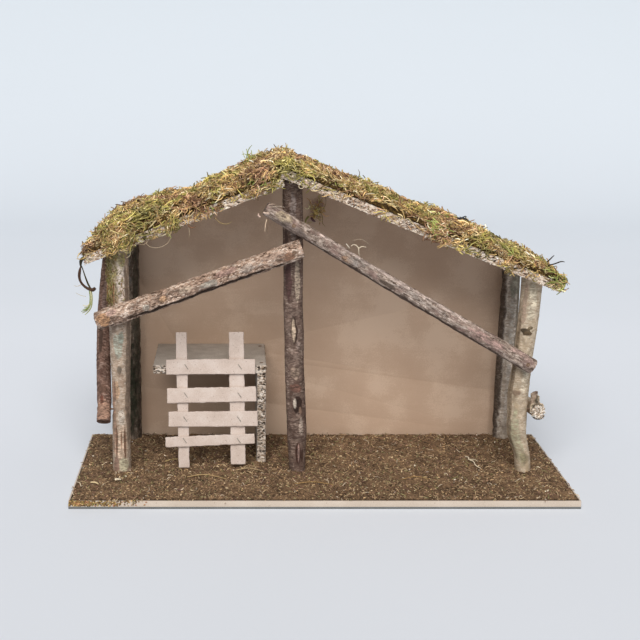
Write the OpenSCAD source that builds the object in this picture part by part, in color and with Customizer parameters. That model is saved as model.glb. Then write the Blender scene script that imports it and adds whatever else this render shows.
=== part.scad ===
/* [Base] */
// Width of the base board
base_w = 550; // [520:5:600]
// Depth of the base board
base_d = 240; // [230:5:270]
// Thickness of the base board
base_t = 6.5; // [5:0.5:12]
// Thickness of the white backing sheet under the base board
backing_t = 2.5; // [2.5:0.5:4]
// Thickness of the glued ground cover
ground_t = 2; // [1:0.5:3]
// Bare rim of the base board around the ground cover
ground_rim = 1.5; // [0.5:0.5:5]

/* [Roof] */
// Distance of the ridge to the left of the middle of the base
ridge_offset = 45.5; // [30:0.5:60]
// Height of the roof's underside at the ridge, above the base board
ridge_h = 338.5; // [320:0.5:370]
// Height of the left eave's underside above the base board
left_eave_h = 245.5; // [235:0.5:265]
// Height of the right eave's underside above the base board
right_eave_h = 213.5; // [200:0.5:230]
// Inset of the left eave from the left edge of the base
left_eave_inset = 18.5; // [10:0.5:24]
// Inset of the right eave from the right edge of the base
right_eave_inset = 16; // [6:0.5:20]
// Thickness of the roof boards
roof_t = 10; // [6:0.5:12]
// Share of its thickness by which the left roof board lies below the right one at the ridge
ridge_step_share = 0.95; // [0:0.05:1]
// Inset of the roof's front edge from the front edge of the base
roof_front_inset = 70; // [60:1:76]
// Overhang of the roof behind the base
roof_back_over_l = 2; // [0:0.5:10]

/* [Moss] */
// Usual thickness of the moss on the roof
moss_t = 12; // [8:0.5:16]
// Thickness of the moss along the ridge
ridge_moss_t = 9.5; // [5:0.5:12]
// Thickness of the moss along the outer edges
moss_edge_t = 5; // [4:0.5:7]
// Extra height of the swell in the moss above the left eave
moss_swell_h = 12; // [4:1:16]
// Overhang of the moss beyond the boards
moss_over_l = 2; // [0:0.5:5]
// Thickness of the moss on the front left post
post_moss_t = 2; // [1:0.5:3]
// Gap between the moss on the front left post and the brace below it
post_moss_gap = 3; // [1:0.5:12]
// Width of the moss tuft on the back panel
tuft_w = 24; // [14:1:30]
// Thickness of the moss tuft on the back panel
tuft_t = 5; // [3:0.5:8]
// Drop of the tuft's middle below the roof
tuft_drop_h = 34; // [30:1:50]
// Thickness of the twig that hangs at the left eave
twig_d = 2.4; // [1.6:0.2:4]
// Height of the hanging twig
twig_h = 36; // [24:1:48]
// Width of the hanging twig's bow
twig_w = 9; // [5:0.5:14]

/* [Posts] */
// Inset of the front posts' middles from the front edge of the base
front_post_inset = 100.5; // [96:0.5:110]
// Inset of the front left post from the left edge of the base
front_left_inset = 49.5; // [44:0.5:56]
// Thickness of the front left post
front_left_d = 24.5; // [20:0.5:28]
// Sideways bow of the front left post
front_left_sway = 2; // [0:0.5:4]
// Distance of the centre post's foot to the right of the ridge
centre_post_offset = 20.5; // [14:0.5:30]
// Thickness of the centre post
centre_post_d = 23; // [18:0.5:26]
// Lean of the centre post to the left
centre_post_sway = 9; // [0:0.5:14]
// Inset of the front right post's foot from the right edge of the base
front_right_inset = 41.5; // [36:0.5:50]
// Thickness of the front right post
front_right_d = 24.5; // [20:0.5:28]
// Kink of the front right post to the left
front_right_sway = 9.5; // [0:0.5:14]
// Inset of the rear left post from the left edge of the base
rear_left_inset = 51.5; // [46:0.5:58]
// Thickness of the rear left post
rear_left_d = 24; // [18:0.5:28]
// Inset of the rear right post's foot from the right edge of the base
rear_right_inset = 40.5; // [36:0.5:46]
// Thickness of the rear right post
rear_right_d = 21; // [18:0.5:26]
// Lean of the rear right post to the right
rear_right_sway = 4; // [0:0.5:8]

/* [Back panel] */
// Thickness of the back panel
panel_t = 3; // [2.5:0.5:5]
// Inset of the panel's rear face from the rear edge of the base
panel_inset = 1; // [0:0.5:4]
// Reach of the panel past the middles of the rear posts' feet
panel_lap = 6; // [3:0.5:8]

/* [Front braces] */
// Thickness of the left front brace
left_brace_d = 21; // [16:0.5:24]
// Height of the left brace's low end above the base board
left_brace_h = 180; // [150:1:190]
// Reach of the left brace past the front left post's middle
left_brace_over_l = 23; // [16:0.5:30]
// Reach of the left brace past the centre post's middle
left_brace_end_l = 9.5; // [5:0.5:14]
// Gap between the two front braces where they nearly meet
brace_gap = 1.5; // [1:0.5:6]
// Thickness of the right front brace
right_brace_d = 18; // [14:0.5:20]
// Drop of the right brace's high end below the roof
right_brace_drop_h = 17; // [14:1:30]
// Height of the right brace's low end above the base board
right_brace_h = 127.5; // [110:0.5:140]
// Reach of the right brace past the centre post's middle
right_brace_over_l = 30; // [20:0.5:36]
// Reach of the right brace past the front right post's middle
right_brace_end_l = 7.5; // [5:0.5:14]

/* [Side braces] */
// Thickness of the left side brace
side_brace_d = 17; // [12:0.5:20]
// Height of the left side brace's low end above the base board
side_brace_h = 61; // [40:1:80]
// Reach of the left side brace in front of the front left post's middle
side_brace_over_l = 9; // [5:0.5:14]
// Outward bow of the left side brace
side_brace_sway = 5; // [0:0.5:8]
// Thickness of the right side rail
side_rail_d = 17.5; // [12:0.5:20]
// Height of the side rail's front end above the base board
side_rail_h = 75; // [50:1:100]
// Fall of the side rail from front to back
side_rail_drop_h = 27; // [0:1:40]
// Reach of the side rail past the posts' middles
side_rail_over_l = 8; // [5:0.5:14]
// Thickness of the stub of a side shoot on the rail
stub_d = 8; // [5:0.5:10]
// Height of the stub above the rail's middle
stub_h = 17; // [12:0.5:20]

/* [Hay platform] */
// Gap between the rear left post and the platform
platform_left_gap = 21; // [14:0.5:30]
// Gap between the platform and the centre post's foot, seen from the front
platform_right_gap = 23.5; // [18:0.5:30]
// Depth of the platform
platform_d = 109; // [95:1:114]
// Height of the platform's top above the base board
platform_h = 117.5; // [105:0.5:130]
// Thickness of the platform board
platform_t = 10; // [7:0.5:12]
// Thickness of the board that stands under the platform
side_board_t = 10.5; // [7:0.5:12]
// Inset of that board from the platform's right edge
side_board_inset = 0.5; // [0:0.5:6]

/* [Fence] */
// Thickness of the fence strips
strip_t = 3; // [2.5:0.5:4]
// Length of the fence's stiles
stile_l = 156; // [150:1:170]
// Width of the left stile
left_stile_w = 12.5; // [10:0.5:16]
// Width of the right stile
right_stile_w = 17; // [12:0.5:20]
// Inset of the stiles' middles from the ends of the rails
stile_inset = 20; // [16:0.5:26]
// Amount by which the right stile stops short of the ground
right_stile_short = 4; // [0:0.5:8]
// Inset of the rails' left ends from the platform's left side
rail_left_inset = 16; // [4:0.5:22]
// Inset of the rails' right ends from the platform's right side
rail_right_inset = 12.5; // [4:0.5:22]
// Width of the widest rail
rail_w = 17.5; // [13:0.5:20]
// Angle by which the fence leans back
fence_lean = 11; // [8:0.5:14]

/* [Fixings] */
// Thickness of the nails
nail_d = 2; // [1.4:0.1:2.4]
// Width of the nail heads
nail_head_d = 4.5; // [3.5:0.1:6]
// Thickness of the nail heads
nail_head_t = 0.8; // [0.5:0.1:1.2]
// Depth to which the nails reach into a piece
nail_bite_l = 12; // [8:0.5:16]
// Thickness of the screws under the posts
screw_d = 3.5; // [3:0.1:4]
// Width of the screw heads
screw_head_d = 7; // [6:0.1:8]
// Height of the screw heads
screw_head_t = 2; // [1.5:0.1:2.2]
// Length of the screws above the base board
screw_bite_l = 20; // [12:0.5:24]
// Width of a staple
staple_w = 7; // [5:0.1:8]
// Thickness of a staple's wire
staple_wire = 0.9; // [0.6:0.1:1.2]
// Turn of the staples on the fence's rails
staple_turn = 55; // [0:5:90]
// Thickness of the glue beads
glue_d = 4; // [3:0.5:5]

/* [Hidden] */
// gap between round pieces that touch
touch_gap = 0.3;
// room for a post's foot in the ground cover
foot_gap = 0.5;
// depth of the screw heads below the underside
screw_recess_h = 0.3;
// depth of the nail heads below the surface
nail_recess_h = 0.6;
// length by which a cutting shape runs past what it cuts
overrun_l = 30;
// wire's share that stands out of the rail
staple_proud_share = 0.7;

log_sides = 16;
moss_rows = 26;
moss_lines = 9;

base_top = backing_t + base_t;
ground_top = base_top + ground_t;
front_y = -base_d / 2;
back_y = base_d / 2;
left_x = -base_w / 2;
right_x = base_w / 2;

ridge_x = -ridge_offset;
ridge_z = base_top + ridge_h;
left_eave_x = left_x + left_eave_inset;
right_eave_x = right_x - right_eave_inset;
left_eave_z = base_top + left_eave_h;
ridge_step = roof_t * ridge_step_share;
left_ridge_z = ridge_z - ridge_step;
left_drop = ridge_h - ridge_step - left_eave_h;
right_drop = ridge_h - right_eave_h;
left_pitch = atan2(left_drop, ridge_x - left_eave_x);
right_pitch = atan2(right_drop, right_eave_x - ridge_x);
left_slope_l = norm([ridge_x - left_eave_x, left_drop]);
right_slope_l = norm([right_eave_x - ridge_x, right_drop]);
roof_front_y = front_y + roof_front_inset;
roof_back_y = back_y + roof_back_over_l;
roof_l = roof_back_y - roof_front_y;
// reach of the right board over the left one, and the left board's start: the upper corner of its
// end touches the right board's underside
ridge_angle = left_pitch + right_pitch;
ridge_step_t = ridge_step * cos(left_pitch);
ridge_lap = (roof_t - ridge_step_t) / sin(ridge_angle);
left_start = ridge_lap * cos(ridge_angle) - ridge_step * sin(left_pitch);
// place of the lower corner of that end
left_end_x = ridge_x - left_start * cos(left_pitch);

function left_roof_z(x) = left_ridge_z - (ridge_x - x) * tan(left_pitch);
function right_roof_z(x) = ridge_z - (x - ridge_x) * tan(right_pitch);
function roof_z(x) = x < left_end_x ? left_roof_z(x) : right_roof_z(x);

panel_back_y = back_y - panel_inset;
panel_y = panel_back_y - panel_t;
front_post_y = front_y + front_post_inset;

// A log's rows give its height, its two sways and its thickness as shares
front_left_shares = [
    [0, 0, 0, 0.88], [0.06, -0.1, 0, 0.86], [0.3, 0, 0.3, 0.84], [0.62, 0.1, 0.5, 1],
    [0.85, -0.6, 0.2, 0.98], [1, -0.8, 0, 1]];
centre_shares = [
    [0, 0, 0, 0.8], [0.05, 0, 0, 0.84], [0.13, -0.08, 0.05, 1], [0.34, -0.45, 0.1, 0.95],
    [0.54, -0.7, 0.1, 0.96], [0.8, -0.85, 0, 0.97], [1, -1, 0, 0.98]];
front_right_shares = [
    [0, 0, 0, 0.76], [0.08, -0.2, 0, 0.74], [0.18, -0.95, 0, 0.9], [0.37, -0.98, 0.1, 0.94],
    [0.5, -0.66, 0.1, 0.88], [0.73, -0.19, 0, 0.93], [1, 0.2, 0, 1]];
rear_left_shares = [[0, 0, 0, 0.96], [0.3, 0, 0, 0.98], [0.7, 0, 0, 0.95], [1, 0, 0, 1]];
rear_right_shares = [[0, 0, 0, 0.95], [0.4, 0.6, 0, 1], [0.75, 0.9, 0, 0.94], [1, 1, 0, 0.96]];
left_brace_shares = [
    [0, 0, 0, 0.94], [0.06, 0, 0, 1], [0.3, 0.4, 0, 0.97], [0.6, 0.2, 0, 0.95],
    [0.9, 0, 0, 1], [1, 0, 0, 0.96]];
right_brace_shares = [
    [0, 0, 0, 0.84], [0.12, 0, 0, 0.88], [0.4, 0.5, 0, 0.9], [0.7, 0.3, 0, 0.97],
    [0.94, 0, 0, 1], [1, 0, 0, 0.95]];
side_brace_shares = [
    [0, 0, 0, 0.94], [0.08, 0, 0, 1], [0.3, 0, 0.7, 0.97], [0.55, 0, 1, 1],
    [0.8, 0, 0.5, 0.97], [0.95, 0, 0, 1], [1, 0, 0, 1]];
side_rail_shares = [
    [0, 0, 0, 0.9], [0.05, 0, 0, 1], [0.35, 0, 0, 0.93], [0.7, 0, 0, 0.95], [0.95, 0, 0, 1],
    [1, 0, 0, 0.92]];
brace_bow_share = 0.1;
brace_bow = left_brace_d * brace_bow_share;
// The moss's lumps: height, waves down the slope and waves from front to back
lump_shares = [[0.16, 3.1, 0.7], [0.1, 6.4, -1.7], [0.08, 1.3, 2.6]];
moss_fade_share = 0.17;
swell_spread_share = 0.15;
left_swell_share = 0.76;
right_swell_share = 0.2;
right_swell_place_share = 0.72;
// Places of the panel's nails up the rear posts and along the platform, and of the platform's own
post_nail_shares = [0.25, 0.85];
platform_panel_nail_shares = [0.2, 0.75];
platform_nail_shares = [0.12, 0.88];
// The twig's bends: sideways and downwards
twig_shares = [[0, 0], [-0.45, 0.1], [-0.9, 0.3], [-1, 0.5], [-0.85, 0.72], [-0.4, 0.92], [0.2, 1]];

// A post is listed as [foot x, foot y, thickness, sway, top height, shares]
front_left = [left_x + front_left_inset, front_post_y, front_left_d, front_left_sway,
    roof_z(left_x + front_left_inset) + front_left_d, front_left_shares];
centre = [ridge_x + centre_post_offset, front_post_y, centre_post_d, centre_post_sway,
    roof_z(ridge_x + centre_post_offset) + centre_post_d, centre_shares];
front_right = [right_x - front_right_inset, front_post_y, front_right_d, front_right_sway,
    roof_z(right_x - front_right_inset) + front_right_d, front_right_shares];
rear_left = [left_x + rear_left_inset, panel_y - touch_gap - rear_left_d / 2, rear_left_d, 0,
    roof_z(left_x + rear_left_inset) + rear_left_d, rear_left_shares];
rear_right = [right_x - rear_right_inset, panel_y - touch_gap - rear_right_d / 2, rear_right_d,
    rear_right_sway, roof_z(right_x - rear_right_inset) + rear_right_d, rear_right_shares];
posts = [front_left, centre, front_right, rear_left, rear_right];

function column(shares, i) = [for (row = shares) [row[0], row[i]]];
function share_at(p, z) = (z - base_top) / (p[4] - base_top);
function post_x(p, z) = p[0] + p[3] * lookup(share_at(p, z), column(p[5], 1));
function post_y(p, z) = p[1] + p[3] * lookup(share_at(p, z), column(p[5], 2));
function post_r(p, z) = p[2] / 2 * lookup(share_at(p, z), column(p[5], 3));
// height of the roof's underside over the middle of a post
function post_top(p) = roof_z(post_x(p, roof_z(p[0])));

// Front braces: ends in x and z first, then the depth at which each end clears its post
right_brace_x0 = post_x(centre, roof_z(centre[0]) - right_brace_drop_h) - right_brace_over_l;
right_brace_z0 = roof_z(right_brace_x0) - right_brace_drop_h;
right_brace_z1 = base_top + right_brace_h;
right_brace_x1 = post_x(front_right, right_brace_z1) + right_brace_end_l;
right_brace_fall = atan2(right_brace_z0 - right_brace_z1, right_brace_x1 - right_brace_x0);
function right_brace_z(x) = right_brace_z0 - (x - right_brace_x0) * tan(right_brace_fall);

left_brace_z0 = base_top + left_brace_h;
left_brace_x0 = post_x(front_left, left_brace_z0) - left_brace_over_l;
left_brace_x1 = post_x(centre, right_brace_z(centre[0])) + left_brace_end_l;
function left_brace_top(rise) = right_brace_z(left_brace_x1) - (right_brace_d / 2 + brace_gap
    + left_brace_d / 2 * cos(rise + right_brace_fall)) / cos(right_brace_fall);
function left_brace_rise(z) = atan2(z - left_brace_z0, left_brace_x1 - left_brace_x0);
left_brace_z1 = left_brace_top(left_brace_rise(left_brace_top(right_brace_fall)));

function front_of(p, z, d) = post_y(p, z) - post_r(p, z) - touch_gap - d / 2;
// height and depth of a line from a to b above the place x
function between(a, b, x, i) = a[i] + (b[i] - a[i]) * (x - a[0]) / (b[0] - a[0]);
left_brace_a = [left_brace_x0, front_of(front_left, left_brace_z0, left_brace_d), left_brace_z0];
left_brace_b = [left_brace_x1, front_of(centre, left_brace_z1, left_brace_d), left_brace_z1];
right_brace_a = [right_brace_x0, front_of(centre, right_brace_z0, right_brace_d), right_brace_z0];
right_brace_b = [right_brace_x1, front_of(front_right, right_brace_z1, right_brace_d), right_brace_z1];

// Side pieces: they pass the posts on the outside
side_brace_z0 = base_top + side_brace_h;
side_brace_z1 = roof_z(left_x + rear_left_inset - rear_left_d);
side_brace_a = [post_x(front_left, side_brace_z0) - post_r(front_left, side_brace_z0) - touch_gap
    - side_brace_d / 2, front_post_y - side_brace_over_l, side_brace_z0];
side_brace_b = [post_x(rear_left, side_brace_z1) - rear_left_d / 2 - touch_gap - side_brace_d / 2,
    rear_left[1] + side_brace_d / 4, side_brace_z1];
side_rail_z0 = base_top + side_rail_h;
side_rail_z1 = side_rail_z0 - side_rail_drop_h;
side_rail_a = [post_x(front_right, side_rail_z0) + post_r(front_right, side_rail_z0) + touch_gap
    + side_rail_d / 2, front_post_y - side_rail_over_l, side_rail_z0];
side_rail_b = [post_x(rear_right, side_rail_z1) + post_r(rear_right, side_rail_z1) + touch_gap
    + side_rail_d / 2, rear_right[1] + side_rail_over_l, side_rail_z1];

platform_x = rear_left[0] + rear_left_d / 2 + platform_left_gap;
platform_w = centre[0] - centre_post_d / 2 - platform_right_gap - platform_x;
platform_y = panel_y - platform_d;
platform_top_z = base_top + platform_h;
platform_under = platform_top_z - platform_t;
side_board_x = platform_x + platform_w - side_board_inset - side_board_t;

rail_l = platform_w - rail_left_inset - rail_right_inset;
fence_x = platform_x + rail_left_inset + rail_l / 2;
fence_y = platform_y - (platform_top_z - ground_top) * tan(fence_lean) - touch_gap / cos(fence_lean);
left_stile_x = stile_inset - rail_l / 2;
right_stile_x = rail_l / 2 - stile_inset;
left_stile_tilt = -1.3;
right_stile_tilt = -0.9;
// Each rail: height on the stiles, sideways shift, width and tilt
rail_shares = [
    [0.747, -0.006, 0.98, -0.5], [0.54, 0.005, 0.97, -1.3], [0.363, 0.02, 1, -0.5],
    [0.205, -0.012, 0.66, -2.5]];

function rail_z(i) = stile_l * rail_shares[i][0];
function rail_x(i) = rail_l * rail_shares[i][1];
function stile_x(x, tilt, z) = x + z * sin(tilt);

// Shapes used by several pieces

// A log that rises from the origin along Z, with one ring of points for each row of shares
module log_solid(length, dia, sway, shares) {
    rings = len(shares);
    points = [for (row = shares) for (i = [0 : log_sides - 1])
        [sway * row[1] + dia / 2 * row[3] * cos(360 * i / log_sides),
         sway * row[2] + dia / 2 * row[3] * sin(360 * i / log_sides),
         length * row[0]]];
    function at(ring, i) = ring * log_sides + i % log_sides;
    low = [[for (i = [0 : log_sides - 1]) at(0, i)]];
    high = [[for (i = [0 : log_sides - 1]) at(rings - 1, log_sides - 1 - i)]];
    bark = [for (k = [0 : rings - 2]) for (i = [0 : log_sides - 1])
        each [[at(k, i), at(k + 1, i), at(k + 1, i + 1)], [at(k, i), at(k + 1, i + 1), at(k, i + 1)]]];
    polyhedron(points, concat(low, high, bark), convexity = 4);
}

// A log from point a to point b
module log_between(a, b, dia, sway, shares) {
    span = b - a;
    translate(a)
        rotate([0, acos(span[2] / norm(span)), atan2(span[1], span[0])])
            log_solid(norm(span), dia, sway, shares);
}

// A bar of profile points in X and Z, from y0 to y1
module profile_bar(points, y0, y1) {
    translate([0, y1, 0])
        rotate([90, 0, 0])
            linear_extrude(y1 - y0)
                polygon(points);
}

// All the room below the underside of the roof
module under_roof() {
    profile_bar([[left_x - overrun_l, 0], [right_x + overrun_l, 0],
        [right_x + overrun_l, roof_z(right_x + overrun_l)], [left_end_x, right_roof_z(left_end_x)],
        [left_end_x, left_roof_z(left_end_x)], [left_x - overrun_l, roof_z(left_x - overrun_l)]],
        front_y - overrun_l, back_y + overrun_l);
}

// Frames that run down each slope from the ridge, with Z square to the boards
module on_left_slope() {
    translate([ridge_x, 0, left_ridge_z])
        rotate([0, -left_pitch, 0])
            mirror([1, 0, 0])
                children();
}

module on_right_slope() {
    translate([ridge_x, 0, ridge_z])
        rotate([0, right_pitch, 0])
            children();
}

// The fence's own frame: X along the rails, Z up the stiles, Y through the strips
module on_fence() {
    translate([fence_x, fence_y, ground_top])
        rotate([-fence_lean, 0, 0])
            children();
}

// A post with its foot on the base board and its top against the roof
module post(p) {
    difference() {
        intersection() {
            translate([p[0], p[1], base_top])
                log_solid(p[4] - base_top, p[2], p[3], p[5]);
            under_roof();
        }
        screw(p);
        roof_nail_room(p);
    }
}

// A countersunk screw that stands in a post's foot
module screw(p) {
    translate([p[0], p[1], 0]) {
        translate([0, 0, screw_recess_h])
            cylinder(h = screw_head_t, d1 = screw_head_d, d2 = screw_d, $fn = 32);
        cylinder(h = base_top + screw_bite_l, d = screw_d, $fn = 32);
    }
}

// The room that a screw takes in the base
module screw_room(p) {
    screw(p);
    translate([p[0], p[1], -overrun_l])
        cylinder(h = overrun_l + screw_recess_h, d = screw_head_d, $fn = 32);
}

// A brad square through the roof board into a post's top
module roof_nail(p, above = 0) {
    x = post_x(p, post_top(p));
    reach = abs(x - ridge_x) / cos(x < ridge_x ? left_pitch : right_pitch);
    if (x < ridge_x) {
        on_left_slope()
            translate([reach, p[1], -nail_bite_l])
                cylinder(h = nail_bite_l + roof_t + above, d = nail_d, $fn = 24);
    } else {
        on_right_slope()
            translate([reach, p[1], -nail_bite_l])
                cylinder(h = nail_bite_l + roof_t + above, d = nail_d, $fn = 24);
    }
}

// The room that a roof nail takes, open above the board
module roof_nail_room(p) {
    roof_nail(p, overrun_l);
}

// A nail whose head lies at the origin and whose shank runs along Z
module nail(shank) {
    cylinder(h = nail_head_t, d = nail_head_d, $fn = 32);
    cylinder(h = shank, d = nail_d, $fn = 24);
}

// The room that a nail takes, open above its head
module nail_room(shank) {
    nail(shank);
    translate([0, 0, -overrun_l])
        cylinder(h = overrun_l, d = nail_head_d, $fn = 32);
}

// Places of the nails in a front brace, each through it into the post p
module at_brace_nail(a, b, d, p) {
    x = post_x(p, between(a, b, post_x(p, (a[2] + b[2]) / 2), 2));
    translate([x, between(a, b, x, 1) - d / 2 + nail_recess_h, between(a, b, x, 2)])
        rotate([-90, 0, 0])
            children();
}

// Places of the nails in a side piece, with side -1 on the left and 1 on the right
module at_side_nail(a, b, d, p, side) {
    part_share = (p[1] - a[1]) / (b[1] - a[1]);
    z = a[2] + (b[2] - a[2]) * part_share;
    x = a[0] + (b[0] - a[0]) * part_share;
    translate([x + side * (d / 2 - nail_recess_h), p[1], z])
        rotate([0, -side * 90, 0])
            children();
}

// Lengths of the nails: through the brace and into the post
function brace_shank(d) = d - nail_recess_h + touch_gap + nail_bite_l;

module front_brace_nails() {
    at_brace_nail(left_brace_a, left_brace_b, left_brace_d, front_left) children(0);
    at_brace_nail(left_brace_a, left_brace_b, left_brace_d, centre) children(0);
    at_brace_nail(right_brace_a, right_brace_b, right_brace_d, centre) children(1);
    at_brace_nail(right_brace_a, right_brace_b, right_brace_d, front_right) children(1);
}

module side_piece_nails() {
    at_side_nail(side_brace_a, side_brace_b, side_brace_d, front_left, -1) children(0);
    at_side_nail(side_rail_a, side_rail_b, side_rail_d, front_right, 1) children(1);
    at_side_nail(side_rail_a, side_rail_b, side_rail_d, rear_right, 1) children(1);
}

// Places of the nails through the back panel: two in each rear post, two in the platform
module at_panel_nails() {
    for (p = [rear_left, rear_right], share = post_nail_shares) {
        z = base_top + (post_top(p) - base_top) * share;
        translate([post_x(p, z), panel_back_y, z])
            rotate([90, 0, 0])
                children();
    }
    for (share = platform_panel_nail_shares)
        translate([platform_x + platform_w * share, panel_back_y, platform_top_z - platform_t / 2])
            rotate([90, 0, 0])
                children();
}

module at_platform_nails() {
    for (share = platform_nail_shares)
        translate([side_board_x + side_board_t / 2, platform_y + platform_d * share, platform_top_z])
            rotate([180, 0, 0])
                children();
}

// A staple across a stile: a crown on the rail's face and two legs through rail and stile
module staple() {
    reach = strip_t + strip_t / 2;
    rotate([0, staple_turn, 0]) {
        translate([-staple_w / 2, -staple_wire * staple_proud_share, -staple_wire / 2])
            cube([staple_w, staple_wire, staple_wire]);
        for (x = [-staple_w / 2, staple_w / 2 - staple_wire])
            translate([x, -staple_wire * staple_proud_share, -staple_wire / 2])
                cube([staple_wire, reach, staple_wire]);
    }
}

module at_staples() {
    for (i = [0 : len(rail_shares) - 1], stile = [[left_stile_x, left_stile_tilt],
        [right_stile_x, right_stile_tilt]])
        translate([stile_x(stile[0], stile[1], -rail_z(i)), -2 * strip_t, rail_z(i)])
            children();
}

// Pieces of the base

module base_board() {
    color("#d9c3ae")
        difference() {
            translate([left_x, front_y, backing_t])
                cube([base_w, base_d, base_t]);
            for (p = posts)
                screw_room(p);
        }
}

module base_backing() {
    color("#efefec")
        difference() {
            translate([left_x, front_y, 0])
                cube([base_w, base_d, backing_t]);
            for (p = posts)
                screw_room(p);
        }
}

module ground_cover() {
    color("#5b4226")
        difference() {
            translate([left_x + ground_rim, front_y + ground_rim, base_top])
                cube([base_w - 2 * ground_rim, panel_y - front_y - ground_rim, ground_t]);
            for (p = posts)
                translate([p[0], p[1], base_top - overrun_l])
                    cylinder(h = 2 * overrun_l, r = post_r(p, base_top) + foot_gap, $fn = 48);
            translate([side_board_x - touch_gap, platform_y - touch_gap, base_top - overrun_l])
                cube([side_board_t + 2 * touch_gap, platform_d + overrun_l, 2 * overrun_l]);
        }
}

module back_panel() {
    x0 = rear_left[0] - panel_lap;
    x1 = rear_right[0] + panel_lap;
    color("#a98a6c")
        difference() {
            profile_bar([[x0, base_top], [x1, base_top], [x1, roof_z(x1)],
                [left_end_x, right_roof_z(left_end_x)], [left_end_x, left_roof_z(left_end_x)],
                [x0, roof_z(x0)]], panel_y, panel_back_y);
            at_panel_nails() nail_room(panel_t + nail_bite_l);
        }
}

// Posts

module front_left_post() {
    color("#8d7a68")
        difference() {
            post(front_left);
            front_brace_nails() {
                nail(brace_shank(left_brace_d));
                nail(brace_shank(right_brace_d));
            }
            side_piece_nails() {
                nail(brace_shank(side_brace_d));
                nail(brace_shank(side_rail_d));
            }
        }
}

module centre_post() {
    color("#6f5d50")
        difference() {
            post(centre);
            front_brace_nails() {
                nail(brace_shank(left_brace_d));
                nail(brace_shank(right_brace_d));
            }
        }
}

module front_right_post() {
    color("#a5947f")
        difference() {
            post(front_right);
            front_brace_nails() {
                nail(brace_shank(left_brace_d));
                nail(brace_shank(right_brace_d));
            }
            side_piece_nails() {
                nail(brace_shank(side_brace_d));
                nail(brace_shank(side_rail_d));
            }
        }
}

module rear_left_post() {
    color("#4a433e")
        difference() {
            post(rear_left);
            at_panel_nails() nail(panel_t + nail_bite_l);
        }
}

module rear_right_post() {
    color("#77706a")
        difference() {
            post(rear_right);
            at_panel_nails() nail(panel_t + nail_bite_l);
            side_piece_nails() {
                nail(brace_shank(side_brace_d));
                nail(brace_shank(side_rail_d));
            }
        }
}

// Braces

module left_front_brace() {
    color("#6a5546")
        difference() {
            log_between(left_brace_a, left_brace_b, left_brace_d, brace_bow, left_brace_shares);
            front_brace_nails() {
                nail_room(brace_shank(left_brace_d));
                nail_room(brace_shank(right_brace_d));
            }
        }
}

module right_front_brace() {
    color("#7b675e")
        difference() {
            log_between(right_brace_a, right_brace_b, right_brace_d, brace_bow, right_brace_shares);
            front_brace_nails() {
                nail_room(brace_shank(left_brace_d));
                nail_room(brace_shank(right_brace_d));
            }
        }
}

module left_side_brace() {
    color("#5d4c42")
        difference() {
            intersection() {
                log_between(side_brace_a, side_brace_b
                    + (side_brace_b - side_brace_a) * side_brace_d / norm(side_brace_b - side_brace_a),
                    side_brace_d, side_brace_sway, side_brace_shares);
                under_roof();
            }
            side_piece_nails() {
                nail_room(brace_shank(side_brace_d));
                nail_room(brace_shank(side_rail_d));
            }
        }
}

module right_side_rail() {
    color("#8c7b68")
        difference() {
            union() {
                log_between(side_rail_a, side_rail_b, side_rail_d, 0, side_rail_shares);
                translate([side_rail_a[0], side_rail_a[1] + stub_d, side_rail_a[2]])
                    cylinder(h = stub_h, d = stub_d, $fn = 24);
            }
            side_piece_nails() {
                nail_room(brace_shank(side_brace_d));
                nail_room(brace_shank(side_rail_d));
            }
        }
}

// Roof

module left_roof_board() {
    color("#b9ab93")
        difference() {
            on_left_slope()
                translate([left_start, roof_front_y, 0])
                    cube([left_slope_l - left_start, roof_l, roof_t]);
            for (p = posts)
                roof_nail_room(p);
        }
}

module right_roof_board() {
    color("#b3a18c")
        difference() {
            on_right_slope()
                translate([-ridge_lap, roof_front_y, 0])
                    cube([right_slope_l + ridge_lap, roof_l, roof_t]);
            for (p = posts)
                roof_nail_room(p);
        }
}

// Height of the moss: u runs from the ridge to the eave, v from front to back, both from 0 to 1.
// The step between the boards is filled with moss that gets thinner towards the eave.
function fade(a) = sin(90 * min(1, max(0, a) / moss_fade_share));
function wave(k, u, v) = lump_shares[k][0] * sin(360 * (lump_shares[k][1] * u + lump_shares[k][2] * v));
function lump(u, v) = wave(0, u, v) + wave(1, u, v) + wave(2, u, v);
function swelling(u, v, place_share) = exp(-pow((u - place_share) / swell_spread_share, 2)) * (1 + v) / 2;
function moss_rim(u) = ridge_moss_t + (moss_edge_t - ridge_moss_t) * fade(u);
function moss_h(u, v, swell, place_share, step) = moss_rim(u) + step * (1 - u)
    + (moss_t * (1 + lump(u, v)) + swell * swelling(u, v, place_share) - moss_rim(u))
        * fade(u) * fade(1 - u) * fade(v) * fade(1 - v);

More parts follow.
